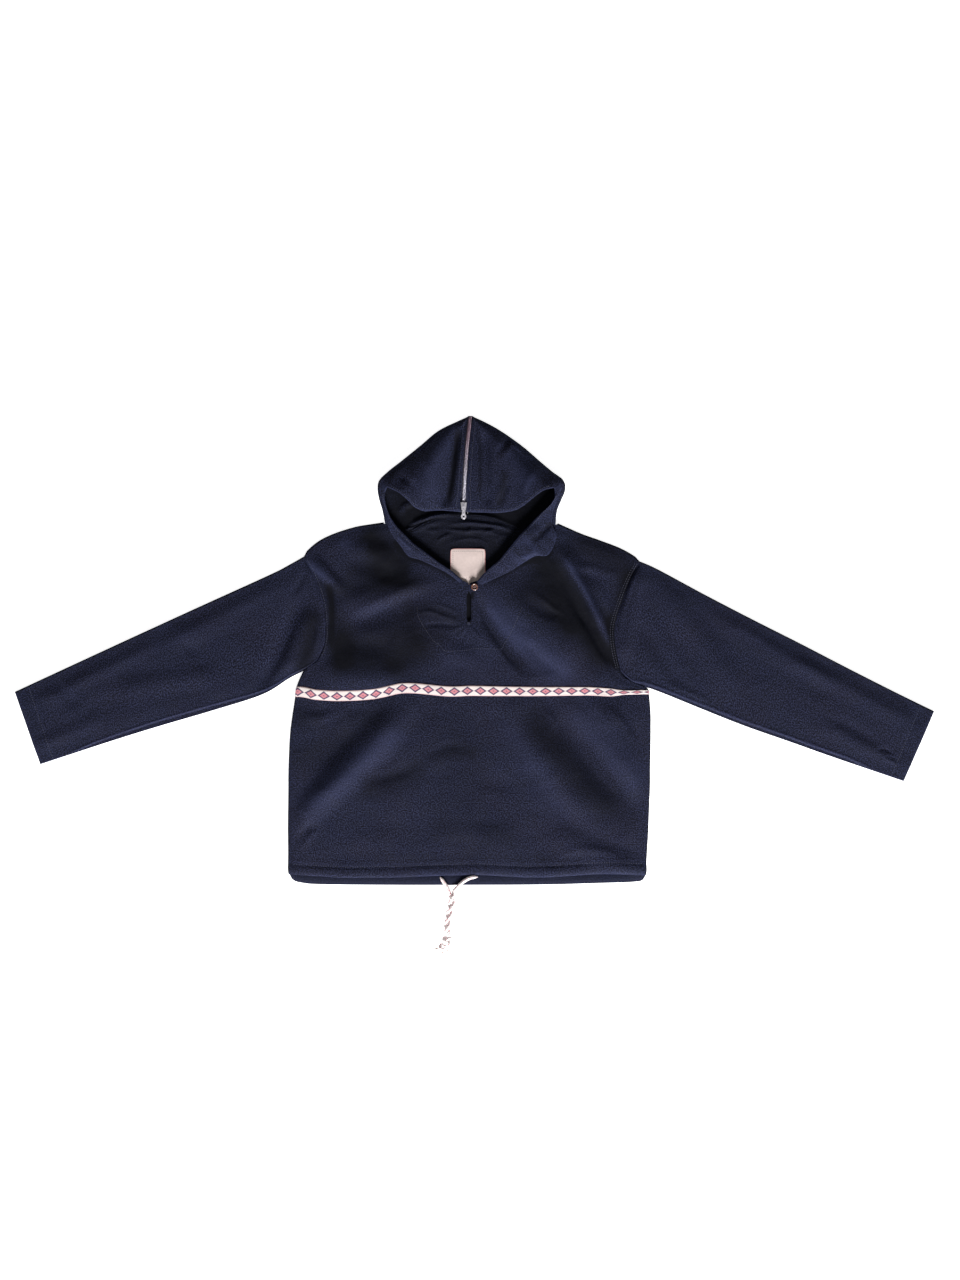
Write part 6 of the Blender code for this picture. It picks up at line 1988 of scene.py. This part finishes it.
@dataclass
class Stitching:
    """Rows of topstitches, as joined small beads laid on the cloth."""

    name: str
    material: Material
    length: float = 2.5
    width: float = 0.85
    height: float = 0.5
    slot: str = "navy_twill"
    steepest: float = 2.2

    def __post_init__(self) -> None:
        """Starts empty."""
        self.bm = bmesh.new()
        self.count = 0

    def run(self, line: Sequence, ground: Ground, pitch: float = 3.6, smooth: bool = True,
            lift: float = 0.08, start: float = 60.0) -> None:
        """Sews along a line.

        Args:
            line: its points in plan.
            ground: what it is sewn on.
            pitch: from stitch to stitch.
            smooth: the line curves through its points.
            lift: height of the stitch's middle over the cloth.
            start: height to look down from.
        """
        route = Route([p[:2] for p in line], 12 if smooth else 1)
        count = int(route.length / pitch)
        half = self.length / 2 / route.length
        for k in range(count):
            share = (k + 0.5) / count
            a, b = route.at(max(0.0, share - half))[0], route.at(min(1.0, share + half))[0]
            za, zb = ground.height(*a, start), ground.height(*b, start)
            if za is None or zb is None or abs(za - zb) > self.steepest:
                continue
            mid = Vector(((a[0] + b[0]) / 2, (a[1] + b[1]) / 2, (za + zb) / 2 + lift))
            axis = Vector((b[0] - a[0], b[1] - a[1], zb - za))
            if axis.length < 0.2:
                continue
            turn = axis.to_track_quat("X", "Z").to_matrix().to_4x4()
            size = Matrix.Diagonal((self.length / 2 * MM, self.width / 2 * MM, self.height / 2 * MM, 1))
            bmesh.ops.create_uvsphere(self.bm, u_segments=6, v_segments=4, radius=1.0,
                                      matrix=Matrix.Translation(mid * MM) @ turn @ size)
            self.count += 1

    def build(self) -> Piece:
        """The stitches as one piece."""
        LOG.info("%s: %d stitches", self.name, self.count)
        return add_piece(self.name, close_mesh(self.bm, self.name, False, 0.001), self.material, self.slot)


@dataclass
class Sewing:
    """All the rows of stitches."""

    front: FrontPanel
    sleeves: tuple
    hoods: tuple
    finish: Wardrobe

    def body(self, ground: Ground) -> None:
        """Hem, armholes, facing and slit."""
        sewn = Stitching("body_stitches", self.finish.thread)
        hem_y = BODY_ROWS[0][4] + 18.0
        xs = np.arange(-290, 272, 9.0)
        sewn.run([(x, hem_y + wander(x, HEM_WANDER)) for x in xs], ground, 3.9)
        for side in Side:
            s = np.linspace(9.3, 15.7, 40)
            for inset in ((3.0, 6.5) if side is Side.RIGHT else (3.2,)):
                sewn.run(Body.edge(side, s) - Body.outward(side, s) * inset, ground, 3.8)
        facing = ((-50, 1), (-44, -1), (-14, 0.5), (-1, 3), (25, 2.5), (42, 2.5), (46, 7))
        sewn.run(facing, ground, 3.6)
        sewn.build()
        sides = Stitching("facing_stitches", self.finish.deep_thread)
        for line in (((-92, 70), (-88, 50), (-66, 16), (-58, 10.5), (-50, 1)), ((46, 7), (62, 36), (76, 70))):
            sides.run(line, ground, 3.6)
        sides.build()
        tack = Stitching("slit_tack", self.finish.thread, 5.2, 0.9, 0.6)
        for k in range(4):
            tack.run(((-12.4, 44.6 - 0.9 * k), (-5.8, 44.6 - 0.9 * k)), ground, 6.6)
        tack.build()

    def sleeves_and_cuffs(self) -> None:
        """The cuffs' hems."""
        for sleeve, obj in self.sleeves:
            ground = Ground(obj)
            sewn = Stitching(f"cuff_stitches_{sleeve.side.name.lower()}", self.finish.thread)
            share = 1 - 24.0 / sleeve.top.length
            top, low = sleeve.top.at(share)[0], sleeve.low.at(share)[0]
            line = [tuple(mix(top, low, t)) for t in np.linspace(0.02, 0.98, 12)]
            sewn.run(line, ground, 3.8)
            sewn.build()

    def zip_sides(self) -> None:
        """Both sides of the zip and the hem of the face edge."""
        for hood, obj in self.hoods:
            ground = Ground(obj)
            sewn = Stitching(f"hood_stitches_{hood.side.name.lower()}", self.finish.thread, 2.3, 0.8, 0.5)
            line = hood.centre_edge(np.linspace(0.06, 0.985, 30))
            line[:, 0] += hood.out * 4.6
            sewn.run(line, ground, 3.4)
            share = np.linspace(hood.turn + 0.04, 0.93, 30)
            edge = hood.face_edge(share)
            sewn.run(join(edge[:, 0], edge[:, 1] + 4.5), ground, 3.4)
            rows = np.linspace(1.2, len(hood.band_rows) - 1.3, 40)
            t = through(hood.band_rows, rows)
            width = row_lengths(t[:, 3:5] - t[:, 0:2])
            inner = mix(t[:, 3:5], t[:, 0:2], np.clip(4.0 / width, 0, 0.5)[:, None])
            sewn.run(inner, ground, 3.4)
            sewn.build()

    def tape(self, ground: Ground) -> None:
        """Both edges of the chest tape."""
        sewn = Stitching("tape_stitches", self.finish.fray, 2.2, 0.5, 0.35, slot="woven_band")
        for s in (TAPE_ROWS[0] + 0.145, TAPE_ROWS[1] - 0.145):
            left = self.front.place(Side.LEFT, np.linspace(0.01, 1, 40), np.full(40, s))
            right = self.front.place(Side.RIGHT, np.linspace(1, 0.01, 40), np.full(40, s))
            sewn.run(np.concatenate([left, right[1:]])[:, :2], ground, 3.0)
        sewn.build()

    def patch(self, patch: NeckPatch, ground: Ground) -> None:
        """The dashed border of the neck patch."""
        sewn = Stitching("patch_stitches", self.finish.dark_thread, 1.9, 0.75, 0.4, slot="label_cloth")
        sewn.run(patch.border(), ground, 3.1, smooth=False, start=4.5)
        sewn.build()


# ---------------------------------------------------------------- all of it
def main() -> None:
    """Builds the camera and the cord, then the cloth, the hard pieces, the sewing and the light."""
    logging.basicConfig(level=logging.INFO, format="%(message)s")
    studio = Studio()
    studio.camera()
    finish = Wardrobe()
    Drawcord().build(finish)

    BackPanel().build(finish)
    front = FrontPanel()
    front_cloth = front.build(finish)
    tape = TrimBand().build(front, finish)
    # the left sleeve's last table is painted shade beside the armhole
    left = Sleeve(Side.LEFT, LEFT_SLEEVE_TOP, LEFT_SLEEVE_LOW, LEFT_SLEEVE_FOLDS, LEFT_SLEEVE_CREASES,
                  LEFT_SLEEVE_PUCKERS, ((0.0, 4.5), (0.2, 6.5), (0.4, 9.0), (0.6, 8.5), (0.8, 5.0), (0.9, 0.0)),
                  (Crease(((-254, 76), (-264, 16), (-280, -46)), 26, -0.6),))
    right = Sleeve(Side.RIGHT, RIGHT_SLEEVE_TOP, RIGHT_SLEEVE_LOW, RIGHT_SLEEVE_FOLDS, RIGHT_SLEEVE_CREASES,
                   RIGHT_SLEEVE_PUCKERS, ((0.0, 3.0), (0.2, 4.5), (0.5, 5.0), (0.8, 4.5), (0.9, 0.0)))
    sleeves = tuple((sleeve, sleeve.build(finish)) for sleeve in (left, right))
    ground = Ground(front_cloth)
    halves = (HoodHalf(Side.LEFT, LEFT_HOOD_EDGE, LEFT_FACE_EDGE, LEFT_TURNBACK, ground),
              HoodHalf(Side.RIGHT, RIGHT_HOOD_EDGE, RIGHT_FACE_EDGE, RIGHT_TURNBACK, ground))
    hoods = tuple((half, half.build(finish)) for half in halves)
    Zip().build(finish)
    patch = NeckPatch()
    patch_cloth = patch.build(finish)
    ShirtButton().build(finish)

    sewing = Sewing(front, sleeves, hoods, finish)
    sewing.body(ground)
    sewing.sleeves_and_cuffs()
    sewing.zip_sides()
    sewing.tape(Ground(tape))
    sewing.patch(patch, Ground(patch_cloth))
    studio.light()


if __name__ == "__main__":
    main()
